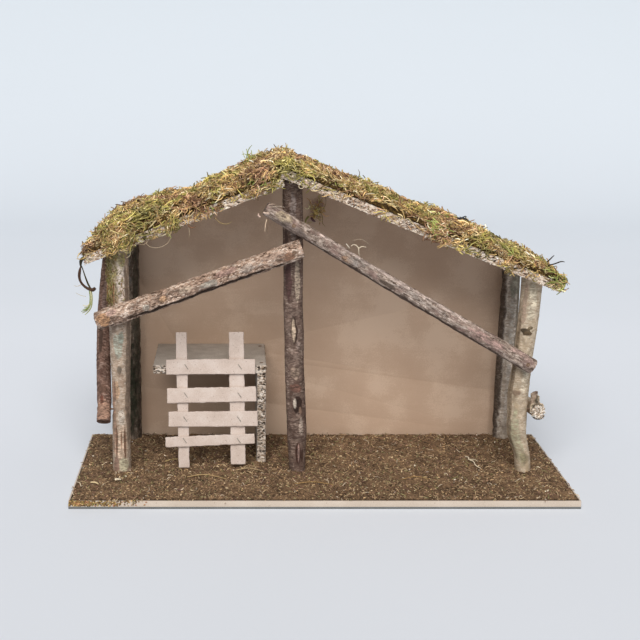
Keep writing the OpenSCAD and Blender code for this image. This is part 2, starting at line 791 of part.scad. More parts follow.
// A moss mat on a slope, from the run u0 to u1, with its ridge end leaned by the angle lean
module moss_mat(u0, u1, lean, lean_base, swell, place_share, step) {
    v0 = roof_front_y - moss_over_l;
    v1 = roof_back_y + moss_over_l;
    nu = moss_rows;
    nv = moss_lines;
    function run(i) = u0 + (u1 - u0) * i / (nu - 1);
    function depth(j) = v0 + (v1 - v0) * j / (nv - 1);
    function rise(i, j) = i == 0 ? (lean_base + ridge_moss_t) * cos(lean)
        : moss_h(i / (nu - 1), j / (nv - 1), swell, place_share, step);
    function slide(i) = i == 0 ? (lean_base + ridge_moss_t) * sin(lean) : 0;
    function low(i, j) = i * nv + j;
    function high(i, j) = nu * nv + i * nv + j;
    points = concat(
        [for (i = [0 : nu - 1]) for (j = [0 : nv - 1]) [run(i), depth(j), roof_t]],
        [for (i = [0 : nu - 1]) for (j = [0 : nv - 1]) [run(i) - slide(i), depth(j), roof_t + rise(i, j)]]);
    top = [for (i = [0 : nu - 2]) for (j = [0 : nv - 2]) each
        [[high(i, j), high(i, j + 1), high(i + 1, j)],
         [high(i + 1, j), high(i, j + 1), high(i + 1, j + 1)]]];
    bottom = [for (i = [0 : nu - 2]) for (j = [0 : nv - 2]) each
        [[low(i, j), low(i + 1, j), low(i, j + 1)],
         [low(i + 1, j), low(i + 1, j + 1), low(i, j + 1)]]];
    long_sides = [for (i = [0 : nu - 2]) each
        [[low(i, 0), high(i, 0), high(i + 1, 0)], [low(i, 0), high(i + 1, 0), low(i + 1, 0)],
         [low(i, nv - 1), low(i + 1, nv - 1), high(i + 1, nv - 1)],
         [low(i, nv - 1), high(i + 1, nv - 1), high(i, nv - 1)]]];
    end_sides = [for (j = [0 : nv - 2]) each
        [[low(0, j), low(0, j + 1), high(0, j + 1)], [low(0, j), high(0, j + 1), high(0, j)],
         [low(nu - 1, j), high(nu - 1, j), high(nu - 1, j + 1)],
         [low(nu - 1, j), high(nu - 1, j + 1), low(nu - 1, j + 1)]]];
    polyhedron(points, concat(top, bottom, long_sides, end_sides), convexity = 6);
}

module left_roof_moss() {
    color("#8a7a3a")
        on_left_slope()
            moss_mat(left_start, left_slope_l + moss_over_l, ridge_angle, roof_t,
                moss_swell_h, left_swell_share, ridge_step_t);
}

module right_roof_moss() {
    color("#84753a")
        on_right_slope()
            moss_mat(-ridge_lap, right_slope_l + moss_over_l, 0, 0,
                moss_swell_h * right_swell_share, right_swell_place_share, 0);
}

// Hay platform

module platform_top() {
    color("#8f8e80")
        difference() {
            translate([platform_x, platform_y, platform_top_z - platform_t])
                cube([platform_w, platform_d, platform_t]);
            at_panel_nails() nail(panel_t + nail_bite_l);
            at_platform_nails() nail_room(platform_t + nail_bite_l);
        }
}

module platform_side_board() {
    color("#a08f78")
        difference() {
            translate([side_board_x, platform_y, base_top])
                cube([side_board_t, platform_d, platform_under - base_top]);
            at_platform_nails() nail(platform_t + nail_bite_l);
        }
}

// Fence

module fence_stile(x, width, tilt, short) {
    on_fence()
        difference() {
            translate([x, -strip_t, 0])
                rotate([0, tilt, 0])
                    translate([-width / 2, 0, short + width / 2 * abs(sin(tilt))])
                        cube([width, strip_t, stile_l - short]);
            at_staples() staple();
        }
}

module fence_left_stile() {
    color("#cdb19b") fence_stile(left_stile_x, left_stile_w, left_stile_tilt, 0);
}

module fence_right_stile() {
    color("#cfb39c") fence_stile(right_stile_x, right_stile_w, right_stile_tilt, right_stile_short);
}

module fence_rail(i) {
    width = rail_w * rail_shares[i][2];
    color("#d4b9a2")
        on_fence()
            difference() {
                translate([rail_x(i), -2 * strip_t, rail_z(i)])
                    rotate([0, rail_shares[i][3], 0])
                        translate([-rail_l / 2, 0, -width / 2])
                            cube([rail_l, strip_t, width]);
                at_staples() staple();
            }
}

module fence_top_rail() { fence_rail(0); }
module fence_upper_rail() { fence_rail(1); }
module fence_lower_rail() { fence_rail(2); }
module fence_bottom_rail() { fence_rail(3); }

module fence_staples() {
    color("#4a403a")
        on_fence()
            at_staples() staple();
}

// Glue beads: one at the left stile's foot and one behind each stile at the platform's edge
module fence_glue() {
    color("#d8cfae")
        difference() {
            union() {
                translate([fence_x + left_stile_x - left_stile_w / 4, fence_y, ground_top])
                    rotate([0, 90, 0])
                        cylinder(h = left_stile_w / 2, d = glue_d, $fn = 24);
                for (x = [left_stile_x, right_stile_x])
                    translate([fence_x + x - left_stile_w / 4, platform_y, platform_top_z])
                        rotate([0, 90, 0])
                            cylinder(h = left_stile_w / 2, d = glue_d, $fn = 24);
            }
            translate([left_x, front_y, ground_top - overrun_l])
                cube([base_w, base_d, overrun_l]);
            translate([platform_x, platform_y, platform_top_z - platform_t])
                cube([platform_w, platform_d, platform_t]);
            on_fence()
                translate([-rail_l, -overrun_l, -overrun_l])
                    cube([2 * rail_l, overrun_l, stile_l + overrun_l]);
        }
}

// Fixings

module post_screws() {
    color("#9a9a98")
        for (p = posts)
            screw(p);
}

module roof_nails() {
    color("#9a9a98")
        for (p = posts)
            roof_nail(p);
}

module brace_nails() {
    color("#8a8a88")
        front_brace_nails() {
            nail(brace_shank(left_brace_d));
            nail(brace_shank(right_brace_d));
        }
}

module side_nails() {
    color("#8a8a88")
        side_piece_nails() {
            nail(brace_shank(side_brace_d));
            nail(brace_shank(side_rail_d));
        }
}

module panel_nails() {
    color("#8a8a88")
        at_panel_nails() nail(panel_t + nail_bite_l);
}

module platform_nails() {
    color("#8a8a88")
        at_platform_nails() nail(platform_t + nail_bite_l);
}

// Loose moss

// Thin moss on the front of the front left post, under the roof
module post_moss() {
    low = between(left_brace_a, left_brace_b, front_left[0], 2) + post_moss_gap
        + (left_brace_d / 2 + front_left_d / 3 * sin(left_brace_rise(left_brace_z1)))
            / cos(left_brace_rise(left_brace_z1));
    color("#7d7a3c")
        difference() {
            intersection() {
                translate([front_left[0], front_left[1], base_top])
                    log_solid(front_left[4] - base_top, front_left_d + 2 * post_moss_t,
                        front_left_sway, front_left_shares);
                translate([front_left[0] - front_left_d / 3, front_left[1] - front_left_d, low])
                    cube([front_left_d * 2 / 3, front_left_d, front_left[4] - low]);
                under_roof();
            }
            translate([front_left[0], front_left[1], base_top])
                log_solid(front_left[4] - base_top, front_left_d, front_left_sway, front_left_shares);
        }
}

// A tuft of moss on the back panel, to the right of the ridge
module panel_moss() {
    x = ridge_x + 2 * tuft_w;
    color("#7f6f3a")
        translate([x, panel_y, roof_z(x) - tuft_drop_h])
            rotate([90, 0, 0])
                rotate_extrude($fn = 32)
                    intersection() {
                        translate([0, tuft_t - tuft_w * tuft_w / tuft_t / 8 - tuft_t / 2])
                            circle(r = tuft_w * tuft_w / tuft_t / 8 + tuft_t / 2, $fn = 96);
                        square([tuft_w, tuft_t]);
                    }
}

// A bent twig that hangs from the left eave's end
module hanging_twig() {
    sides = 6;
    start = [left_eave_x - roof_t * sin(left_pitch) - twig_d / 2, roof_front_y + twig_d,
        left_eave_z + roof_t * cos(left_pitch) - twig_d];
    rings = len(twig_shares);
    points = [for (s = twig_shares) for (i = [0 : sides - 1])
        start + [s[0] * twig_w + twig_d / 2 * cos(360 * i / sides), twig_d / 2 * sin(360 * i / sides),
            -s[1] * twig_h]];
    function at(ring, i) = ring * sides + i % sides;
    high = [[for (i = [0 : sides - 1]) at(0, sides - 1 - i)]];
    low = [[for (i = [0 : sides - 1]) at(rings - 1, i)]];
    bark = [for (k = [0 : rings - 2]) for (i = [0 : sides - 1])
        each [[at(k, i), at(k, i + 1), at(k + 1, i + 1)], [at(k, i), at(k + 1, i + 1), at(k + 1, i)]]];
    color("#4b3524")
        polyhedron(points, concat(high, low, bark), convexity = 4);
}

base_board();
base_backing();
ground_cover();
back_panel();
front_left_post();
centre_post();
front_right_post();
rear_left_post();
rear_right_post();
left_front_brace();
right_front_brace();
left_side_brace();
right_side_rail();
left_roof_board();
right_roof_board();
left_roof_moss();
right_roof_moss();
platform_top();
platform_side_board();
fence_left_stile();
fence_right_stile();
fence_top_rail();
fence_upper_rail();
fence_lower_rail();
fence_bottom_rail();
fence_staples();
fence_glue();
post_screws();
roof_nails();
brace_nails();
side_nails();
panel_nails();
platform_nails();
post_moss();
panel_moss();
hanging_twig();
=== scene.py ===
# %% [markdown]
# # A nativity stable of branches, chipboard and moss
# This lesson dresses a finished construction model. The model arrives as a fixed frame of named
# parts at their real size in metres, and every new piece is fitted to those parts. The first cell
# loads the frame and keeps its outer box, so that the dressed model can be compared with it later.

# %% Load the frame and keep its box
import math
import bpy
import numpy as np
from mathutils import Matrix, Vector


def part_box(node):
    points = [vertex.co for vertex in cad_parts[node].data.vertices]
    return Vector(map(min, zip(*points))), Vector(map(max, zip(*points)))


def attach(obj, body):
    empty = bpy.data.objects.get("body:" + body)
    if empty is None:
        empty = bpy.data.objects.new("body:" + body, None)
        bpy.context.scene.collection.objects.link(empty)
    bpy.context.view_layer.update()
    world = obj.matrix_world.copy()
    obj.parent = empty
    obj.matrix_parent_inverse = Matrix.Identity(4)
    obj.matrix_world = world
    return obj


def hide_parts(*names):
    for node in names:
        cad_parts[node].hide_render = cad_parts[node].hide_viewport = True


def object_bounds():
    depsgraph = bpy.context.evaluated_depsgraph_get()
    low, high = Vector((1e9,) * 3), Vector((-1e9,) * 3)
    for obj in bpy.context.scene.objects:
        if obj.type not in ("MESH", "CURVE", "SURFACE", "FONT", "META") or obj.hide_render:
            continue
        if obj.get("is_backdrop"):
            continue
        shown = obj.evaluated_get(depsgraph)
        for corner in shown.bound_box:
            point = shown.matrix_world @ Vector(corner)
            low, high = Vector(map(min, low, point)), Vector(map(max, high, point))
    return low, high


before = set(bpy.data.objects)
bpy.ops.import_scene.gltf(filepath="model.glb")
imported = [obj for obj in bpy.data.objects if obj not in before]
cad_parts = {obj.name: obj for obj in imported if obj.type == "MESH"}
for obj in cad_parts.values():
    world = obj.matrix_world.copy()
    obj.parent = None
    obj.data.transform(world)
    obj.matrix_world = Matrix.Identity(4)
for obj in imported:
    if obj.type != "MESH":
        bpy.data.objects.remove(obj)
cad_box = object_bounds()
MM = 0.001
print("frame:", len(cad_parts), "parts, box", [[round(v, 4) for v in p] for p in cad_box])

# %% [markdown]
# ## The camera
# The picture that this model follows was taken from a little above, with a long lens, and its frame
# is wider on the right than on the left. A camera shift gives the same framing as that crop without
# turning the camera, so the posts stay upright. The focal length is the fitted one in pixels, times
# the sensor's width, over the picture's width.

# %% Camera
PICTURE = 640
FOCAL_PX = 1300.0
CENTRE_PX = 235.5
SENSOR = 36.0

camera = bpy.data.cameras.new("camera")
camera.sensor_width = SENSOR
camera.lens = FOCAL_PX / PICTURE * SENSOR
camera.shift_x = (PICTURE / 2 - CENTRE_PX) / PICTURE
camera.dof.use_dof = False
camera_object = bpy.data.objects.new("camera", camera)
camera_object.location = (-0.0957, -1.4395, 0.4963)
camera_object.rotation_euler = (math.radians(90 - 12.34), 0, 0)
bpy.context.scene.collection.objects.link(camera_object)
bpy.context.scene.camera = camera_object
print("camera: %.1f mm lens, shift %.3f" % (camera.lens, camera.shift_x))

# %% [markdown]
# ## Colours and shader nodes
# A colour chart gives colours in sRGB, and Blender mixes light in linear values, so one function
# turns a hex colour into linear ones. A second one adds any shader node with its settings, its
# values and its links, which keeps each material below to a short list of what it is made of.
# The scale of a texture is the number of its features in a metre, so a third one gives it from the
# size of one feature in millimetres.

# %% Colour and node helpers
def linear(hexa, alpha=1.0):
    """The linear colour of an sRGB hex colour."""
    parts = [int(hexa[i:i + 2], 16) / 255 for i in (0, 2, 4)]
    return tuple(p / 12.92 if p <= 0.04045 else ((p + 0.055) / 1.055) ** 2.4 for p in parts) + (alpha,)


def per(size):
    """The texture scale that makes one feature about this many millimetres across."""
    return 1 / (size * MM)


def add(tree, kind, sockets=None, stops=None, **settings):
    """Adds one shader node. A socket takes a value, or the output of another node as a link."""
    made = tree.nodes.new("ShaderNode" + kind)
    for name, value in settings.items():
        setattr(made, name, value)
    for socket, value in (sockets or {}).items():
        if isinstance(value, bpy.types.NodeSocket):
            tree.links.new(value, made.inputs[socket])
        else:
            made.inputs[socket].default_value = value
    if stops:
        ramp = made.color_ramp.elements
        ramp[0].position, ramp[1].position = stops[0][0], stops[-1][0]
        ramp[0].color, ramp[1].color = linear(stops[0][1]), linear(stops[-1][1])
        for place, hexa in stops[1:-1]:
            ramp.new(place).color = linear(hexa)
    return made


def new_material(name, roughness, gloss=0.5):
    """A material with its name, its node tree and its shader, ready for a colour and a bump."""
    material = bpy.data.materials.new(name)
    material.use_nodes = True
    shader = material.node_tree.nodes["Principled BSDF"]
    shader.inputs["Roughness"].default_value = roughness
    shader.inputs["Specular IOR Level"].default_value = gloss
    return material, material.node_tree, shader


print("fibreboard beige in linear values:", [round(v, 3) for v in linear("d9c1a8")])

# %% [markdown]
# ## The floor and the light
# The stable stands on a pale sheet of paper that rises behind it in a curve, as in a small photo
# studio, so that there is no horizon. One wide key lights it from the front and above, and an even
# sky fills the rest. The wide key gives the soft shadows of the picture: the roof shades the upper
# part of the back panel, and every post is dark along both its sides.

# %% Floor, key and sky
bpy.context.scene.view_settings.view_transform = "Standard"


def deselect():
    """Leaves edit mode and deselects everything, because an operator acts on all that is selected."""
    if bpy.context.object and bpy.context.object.mode != "OBJECT":
        bpy.ops.object.mode_set(mode="OBJECT")
    bpy.ops.object.select_all(action="DESELECT")


def only(piece):
    """Makes this the one selected and active object."""
    deselect()
    piece.select_set(True)
    bpy.context.view_layer.objects.active = piece


deselect()
bpy.ops.mesh.primitive_plane_add(size=6, location=(0, 0.6, 0))
floor = bpy.context.object
floor.name = "paper_sweep"
bpy.ops.object.mode_set(mode="EDIT")
bpy.ops.mesh.select_all(action="DESELECT")
bpy.ops.object.mode_set(mode="OBJECT")
for edge in floor.data.edges:
    edge.select = all(floor.data.vertices[v].co.y > 2 for v in edge.vertices)
bpy.ops.object.mode_set(mode="EDIT")
bpy.ops.mesh.extrude_region_move(TRANSFORM_OT_translate={"value": (0, 0, 3)})
bpy.ops.object.mode_set(mode="OBJECT")
for edge in floor.data.edges:
    edge.select = all(abs(floor.data.vertices[v].co.y - 3) < 0.1 and floor.data.vertices[v].co.z < 1
                      for v in edge.vertices)
bpy.ops.object.mode_set(mode="EDIT")
bpy.ops.mesh.bevel(offset=1.6, segments=12)
bpy.ops.object.mode_set(mode="OBJECT")
bpy.ops.object.transform_apply(location=True, rotation=True, scale=True)
bpy.ops.object.shade_smooth()

paper, tree, shader = new_material("pale paper", 0.9, 0.1)
place = add(tree, "TexCoord").outputs["Object"]
cloud = add(tree, "TexNoise", {"Vector": place, "Scale": per(700), "Detail": 2.0})
tone = add(tree, "ValToRGB", {"Fac": cloud.outputs["Fac"]}, [(0.3, "d7dee9"), (0.7, "dae1ec")])
# Painted shade: the paper turns greyer with its distance from the stable, as where the key's light falls off.
away = add(tree, "VectorMath", {0: place, 1: (0, 1, 1)}, operation="MULTIPLY").outputs["Vector"]
far = add(tree, "VectorMath", {0: away}, operation="LENGTH").outputs["Value"]
share = add(tree, "MapRange", {"Value": far, "From Min": 0.7, "From Max": 3.9})
painted_falloff = add(tree, "Mix", {0: share.outputs["Result"], 6: tone.outputs["Color"], 7: linear("bdc7d1")},
             data_type="RGBA")
tree.links.new(painted_falloff.outputs[2], shader.inputs["Base Color"])
floor.data.materials.append(paper)
floor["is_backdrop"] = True


key = bpy.data.lights.new("far soft key", "SUN")
key.energy = 3.2
key.angle = math.radians(45)
key.color = linear("fffaf4")[:3]
key_object = bpy.data.objects.new("far soft key", key)
key_object.rotation_euler = (math.radians(47), 0, math.radians(-5))
bpy.context.scene.collection.objects.link(key_object)

world = bpy.data.worlds.new("even sky")
bpy.context.scene.world = world
world.use_nodes = True
sky = world.node_tree.nodes["Background"]
sky.inputs["Color"].default_value = linear("f2efea")
sky.inputs["Strength"].default_value = 0.34
print("floor and", len(bpy.data.lights), "light")

# %% [markdown]
# ## Reading the frame, and natural roughness
# Nearly every part of this stable is natural or raw, so nothing on it is truly even. A function
# gives smooth random lumps of a chosen size for thousands of points at once, by mixing the random
# values at the corners of a grid of cells, and a sum of three sizes looks like weathered wood. The
# random values come from whole numbers, so they are the same at each run.

# %% Mesh and roughness helpers
def mesh_arrays(data):
    """A mesh's points, in metres, and its triangles as arrays."""
    data.calc_loop_triangles()
    points = np.empty(len(data.vertices) * 3)
    data.vertices.foreach_get("co", points)
    corners = np.empty(len(data.loop_triangles) * 3, dtype=np.int32)
    data.loop_triangles.foreach_get("vertices", corners)
    return points.reshape(-1, 3), corners.reshape(-1, 3)


def lumps(points, size, seed=0):
    """Smooth random values from -1 to 1 at points in metres, for lumps of a size in millimetres."""
    spot = np.asarray(points) / (np.asarray(size) * MM) + seed * 13.7 + 100
    cell = np.floor(spot).astype(np.int64)
    part = spot - cell
    part = part * part * (3 - 2 * part)
    total = 0
    for dx in (0, 1):
        for dy in (0, 1):
            for dz in (0, 1):
                mixed = ((cell[:, 0] + dx) * 73856093 ^ (cell[:, 1] + dy) * 19349663
                         ^ (cell[:, 2] + dz) * 83492791) & 0xFFFFFFFF
                mixed = (mixed ^ mixed >> 15) * 2246822519 & 0xFFFFFFFF
                mixed = (mixed ^ mixed >> 13) * 3266489917 & 0xFFFFFFFF
                value = ((mixed ^ mixed >> 16) & 0xFFFF) / 32767.5 - 1
                share = (np.abs(1 - dx - part[:, 0]) * np.abs(1 - dy - part[:, 1])
                         * np.abs(1 - dz - part[:, 2]))
                total = total + value * share
    return total


def weathered(points, size, seed=0):
    """Three sizes of lumps, each half the one before and half as strong."""
    size = np.asarray(size, dtype=float)
    return (lumps(points, size, seed) + lumps(points, size / 2, seed + 1) / 2
            + lumps(points, size / 4, seed + 2) / 4) / 1.4


def keep_values(piece, name, values):
    """Keeps a number, a vector or a colour for each point of a mesh, for the materials to read."""
    kind = {1: ("FLOAT", "value"), 3: ("FLOAT_VECTOR", "vector"), 4: ("FLOAT_COLOR", "color")}
    values = np.asarray(values, dtype=np.float32)
    sort, field = kind[1 if values.ndim == 1 else values.shape[1]]
    data = piece.data
    held = data.attributes.get(name) or data.attributes.new(name, sort, "POINT")
    held.data.foreach_set(field, values.ravel())


def settle(piece, node, materials):
    """Gives a piece its materials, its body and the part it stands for."""
    piece.data.materials.clear()
    for material in materials:
        piece.data.materials.append(material)
    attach(piece, "root")
    if node:
        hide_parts(node)
    return piece


print("a weathered value:", round(float(weathered(np.zeros((1, 3)), 5)[0]), 3))

# %% [markdown]
# ## Logs: reading their shape from the frame
# The posts and braces are natural branches. In the frame each is a solid with sixteen sides, cut
# square or to the slope of the roof. A skin of bark needs more: this cell slices the solid across
# its length and measures, in each slice, the centre and how far the surface is in every direction.
# Smoothing these numbers turns the sixteen flats into a round, slightly uneven branch.

# %% Slice a log of the frame
# Directions round a slice, slices along a log, and the waves kept when a slice is smoothed. Then, in
# metres, the radius of the thickest log and the gap between the last slice and a cut end.
AROUND = 96
SLICES = 60
KEPT_WAVES = 6
LOG_RADIUS = 0.014
END_GAP = 0.0015


def end_plane(points, corners, axis, way):
    """The point and normal of the largest flat that closes one end of a log."""
    tri = points[corners]
    cross = np.cross(tri[:, 1] - tri[:, 0], tri[:, 2] - tri[:, 0])
    area = np.linalg.norm(cross, axis=1)
    normal = cross / np.maximum(area, 1e-15)[:, None]
    middle = tri.mean(1)
    along = middle @ axis * way
    facing = (normal @ axis * way > 0.4) & (along > along.max() - 0.02)
    groups = {}
    for i in np.nonzero(facing)[0]:
        groups.setdefault(tuple(np.round(normal[i], 1) + 0.0), []).append(i)
    best = max(groups.values(), key=lambda g: area[g].sum())
    share = area[best][:, None] / area[best].sum()
    flat = (normal[best] * share).sum(0)
    return (middle[best] * share).sum(0), flat / np.linalg.norm(flat)


def slice_log(name, front):
    """Centres and radii of a log along its length, and the directions of its axis, side and front."""
    points, corners = mesh_arrays(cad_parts[name].data)
    middle = points.mean(0)
    axis = np.linalg.svd(points - middle, full_matrices=False)[2][0]
    axis = axis * np.sign(axis[2])
    front = np.array(front) - axis * (np.array(front) @ axis)
    front = front / np.linalg.norm(front)
    side = np.cross(axis, front)
    height = (points - middle) @ axis
    ends = [end_plane(points, corners, axis, way) for way in (-1, 1)]
    slant = [2 * LOG_RADIUS * math.tan(math.acos(min(1, abs(flat @ axis)))) + END_GAP for _, flat in ends]
    stations = np.linspace(height.min() + slant[0], height.max() - slant[1], SLICES)
    turns = np.arange(AROUND) / AROUND * 2 * math.pi
    rays = np.stack([np.sin(turns), np.cos(turns)], 1)
    centres, radii = [], []
    for at in stations:
        rise = height[corners] - at
        ends_of = [(0, 1), (1, 2), (2, 0)]
        crossed = np.stack([rise[:, a] * rise[:, b] < 0 for a, b in ends_of], 1)
        met = np.nonzero(crossed.sum(1) == 2)[0]
        pair = np.argsort(~crossed[met], axis=1)[:, :2]
        cuts = []
        for k in (0, 1):
            a = np.array([e[0] for e in ends_of])[pair[:, k]]
            b = np.array([e[1] for e in ends_of])[pair[:, k]]
            pa, pb = points[corners[met, a]], points[corners[met, b]]
            ra, rb = rise[met, a], rise[met, b]
            spot = pa + (pb - pa) * (ra / (ra - rb))[:, None] - middle
            cuts.append(np.stack([spot @ side, spot @ front], 1))
        long = np.linalg.norm(cuts[1] - cuts[0], axis=1)
        centre = ((cuts[0] + cuts[1]) / 2 * long[:, None]).sum(0) / long.sum()
        a, b = cuts[0] - centre, cuts[1] - centre
        step = b - a
        down = rays[:, :1] * step[:, 1] - rays[:, 1:] * step[:, 0]
        down = np.where(np.abs(down) < 1e-12, 1e-12, down)
        share = -(rays[:, :1] * a[:, 1] - rays[:, 1:] * a[:, 0]) / down
        reach = rays @ a.T + share * (rays @ step.T)
        reach = np.where((share > -1e-6) & (share < 1 + 1e-6), reach, 0)
        centres.append(centre)
        radii.append(reach.max(1))
    radii = np.array(radii)
    waves = np.fft.rfft(radii, axis=1)
    waves[:, KEPT_WAVES:] = 0
    radii = np.fft.irfft(waves, AROUND, axis=1)
    return {"middle": middle, "axis": axis, "side": side, "front": front, "stations": stations,
            "centres": np.array(centres), "radii": radii, "ends": ends, "start": height.min()}


for name in ("front_left_post", "left_front_brace"):
    cut = slice_log(name, (0, -1, 0))
    print(name, "mean radius %.1f mm" % (cut["radii"].mean() / MM))

# %% [markdown]
# ## Marks on the bark
# Scars, knots, peeled patches and lichen make each branch its own. A few marks are painted shade
# along the shaded side of a log, or a painted highlight down its middle. A mark is an uneven oval on
# the skin: how far along the log it is from its lower end, its angle from the front in degrees, half
# its length and half its width, how far it stands out or sinks in, all in millimetres, and then its
# colour and strength. Noise frays its outline, so that no oval is seen.

# %% Put marks on a skin
def apply_marks(grain, radius, marks, seed):
    """The height in millimetres and the painted colour that the marks give at each point."""
    height = np.zeros(len(grain))
    paint = np.zeros((len(grain), 4))
    turn = np.degrees(np.arctan2(grain[:, 0], grain[:, 1]))
    fray = weathered(grain, (5, 5, 9), seed + 40)
    for along, angle, half_long, half_wide, rise, hexa, strength in marks:
        off = (turn - angle + 180) % 360 - 180
        across = np.radians(off) * radius / MM / half_wide
        length = (grain[:, 2] / MM - along) / half_long
        far = np.hypot(across, length) + 0.35 * fray
        amount = np.clip((1.15 - far) / 0.4, 0, 1)
        amount = amount * amount * (3 - 2 * amount)
        height += rise * amount
        if hexa:
            amount = (amount * strength)[:, None]
            paint[:, :3] = paint[:, :3] * (1 - amount) + np.array(linear(hexa))[:3] * amount
            paint[:, 3:] = paint[:, 3:] * (1 - amount) + amount
    paint[:, :3] /= np.maximum(paint[:, 3:], 1e-4)
    return height, paint


# %% [markdown]
# ## Bark relief
# Bark is not bumpy in the same way on every tree. An old shoot is furrowed, with plates between dark
# cracks. A hazel shoot is smooth, with short raised pores across it, and other shoots have faint
# rings. Thin scales cover a pine branch. Each kind is a sum of stretched lumps in millimetres, in
# the log's own straightened space: x and y across the log, z along it.

# %% Kinds of bark relief
def furrowed(grain, seed):
    """Deep cracks along the branch with flaking plates between them."""
    crack = 1 - 2 * np.abs(weathered(grain, (5, 5, 20), seed))
    plate = np.clip(weathered(grain, (3.6, 3.6, 8), seed + 5) * 4, -1, 1)
    return 0.5 * crack + 0.55 * plate + 0.5 * weathered(grain, (2.0, 2.0, 3.6), seed + 9)


def ringed(grain, seed):
    """Smooth bark with faint rings across the shoot, and a few slow swellings."""
    ring = weathered(grain, (8, 8, 2.6), seed)
    swell = lumps(grain, (14, 14, 34), seed + 4)
    return 0.28 * ring + 0.6 * swell + 0.15 * weathered(grain, (2, 2, 3), seed + 9)


def pored(grain, seed):
    """Smooth young bark with short raised pores that lie across it."""
    pore = np.clip(lumps(grain, (5, 5, 1.9), seed) * 3 - 1.2, 0, 1)
    swell = lumps(grain, (15, 15, 40), seed + 4)
    return 0.4 * pore + 0.6 * swell + 0.12 * weathered(grain, (2, 2, 2.5), seed + 9)


def scaly(grain, seed):
    """Thin scales that lie along the branch, half as deep as the plates of old bark."""
    scale = np.clip(weathered(grain, (3.2, 3.2, 9), seed) * 4, -1, 1)
    swell = lumps(grain, (14, 14, 40), seed + 4)
    return 0.3 * scale + 0.4 * swell + 0.25 * weathered(grain, (2, 2, 4), seed + 9)


print("four kinds of relief:", [kind.__name__ for kind in (furrowed, ringed, pored, scaly)])

# %% [markdown]
# ## The skin of a log
# A flat grid is the easiest surface to give an even net of faces. It is rolled round the log's
# measured slices, pushed out by the relief and the marks, closed along its seam, and then cut
# through by the same planes that end the solid, which closes both ends. The cut ends get rings of
# faces by insets: the first ring is the bark. Every point also keeps its straightened place, so
# that the bark's pattern bends with the branch and has no seam.

# %% Roll a grid into a log
# The length of a face, the thickness of the bark, how far the grid runs past both ends before it is
# cut (in metres), the share of the relief that shapes the mesh, and the rows averaged by smoothing.
STEP = 1.1 * MM
BARK_T = 1.3 * MM
OVERRUN = 0.03
RELIEF_SHARE = 0.85
WINDOW = 13


def straighten(points, cut):
    """The place of points across and along a log, as if it were straight."""
    out = points - cut["middle"]
    height = out @ cut["axis"]
    centre = [np.interp(height, cut["stations"], cut["centres"][:, k]) for k in (0, 1)]
    return np.stack([out @ cut["side"] - centre[0], out @ cut["front"] - centre[1],
                     height - cut["start"]], 1)


def log_skin(node, front, kind, marks, seed):
    """One branch with its bark and its cut ends, in the place of a log of the frame."""
    cut = slice_log(node, front)
    around = AROUND if "front" in node or "centre" in node else 64
    reach = cut["stations"][-1] - cut["stations"][0] + 2 * OVERRUN
    rows = int(reach / STEP * around / AROUND)
    deselect()
    bpy.ops.mesh.primitive_grid_add(x_subdivisions=around, y_subdivisions=rows, size=1)
    piece = bpy.context.object
    piece.name = node + "_bark"
    flat = mesh_arrays(piece.data)[0]
    column = np.rint((flat[:, 0] + 0.5) * around).astype(int) % around
    row = np.rint((flat[:, 1] + 0.5) * rows).astype(int)
    levels = cut["stations"][0] - OVERRUN + np.arange(rows + 1) / rows * reach
    turns = np.arange(around) / around * AROUND
    slices = np.stack([np.interp(levels, cut["stations"], cut["radii"][:, int(round(k)) % AROUND])
                       for k in turns], 1)
    centre = np.stack([np.interp(levels, cut["stations"], cut["centres"][:, k]) for k in (0, 1)], 1)
    soft = np.hanning(WINDOW) / np.hanning(WINDOW).sum()
    for table in (slices, centre):
        for k in range(table.shape[1]):
            table[:, k] = np.convolve(np.pad(table[:, k], WINDOW // 2, "edge"), soft, "valid")
    angle = column / around * 2 * math.pi
    radius = slices[row, column]
    grain = np.stack([np.sin(angle) * radius, np.cos(angle) * radius, levels[row] - cut["start"]], 1)
    relief = kind(grain, seed)
    rise, paint = apply_marks(grain, radius, marks, seed)
    radius = radius + (relief * RELIEF_SHARE + rise) * MM
    across = np.sin(angle) * radius + centre[row, 0]
    ahead = np.cos(angle) * radius + centre[row, 1]
    placed = (cut["middle"] + across[:, None] * cut["side"] + ahead[:, None] * cut["front"]
              + levels[row][:, None] * cut["axis"])
    piece.data.vertices.foreach_set("co", placed.ravel())
    keep_values(piece, "relief", relief + rise * 0.6)
    keep_values(piece, "paint", paint)

    only(piece)
    bpy.ops.object.mode_set(mode="EDIT")
    bpy.ops.mesh.select_all(action="SELECT")
    bpy.ops.mesh.remove_doubles(threshold=0.00001)
    bpy.ops.mesh.normals_make_consistent(inside=False)
    for spot, flat_normal in cut["ends"]:
        bpy.ops.mesh.select_all(action="SELECT")
        bpy.ops.mesh.bisect(plane_co=spot, plane_no=flat_normal, use_fill=True, clear_outer=True)
    bpy.ops.mesh.select_all(action="DESELECT")
    bpy.ops.object.mode_set(mode="OBJECT")
    for face in piece.data.polygons:
        face.select = len(face.vertices) > 8
        face.material_index = 1 if face.select else 0
    bpy.ops.object.mode_set(mode="EDIT")
    bpy.ops.mesh.inset(thickness=BARK_T, depth=0.0002, use_even_offset=False)
    for inner in (2.0, 2.4, 2.4):
        bpy.ops.mesh.inset(thickness=inner * MM, use_even_offset=False)
    bpy.ops.mesh.poke()
    bpy.ops.object.mode_set(mode="OBJECT")
    keep_values(piece, "grain", straighten(mesh_arrays(piece.data)[0], cut))
    bpy.ops.object.shade_smooth_by_angle(angle=math.radians(50))
    return piece


print("a row of faces every %.1f mm" % (STEP / MM))

# %% [markdown]
# ## Bark and cut wood
# The look of bark comes from three layers. Cracks are dark and ridges are worn pale, so the relief
# that shaped the mesh also chooses the colour. Streaks of a few millimetres run along the grain.
# Then come larger stains and small spots of lichen. The marks are painted over these. Bark is dull,
# so its roughness is high and its gloss is low. Each species of branch gets its own colours.

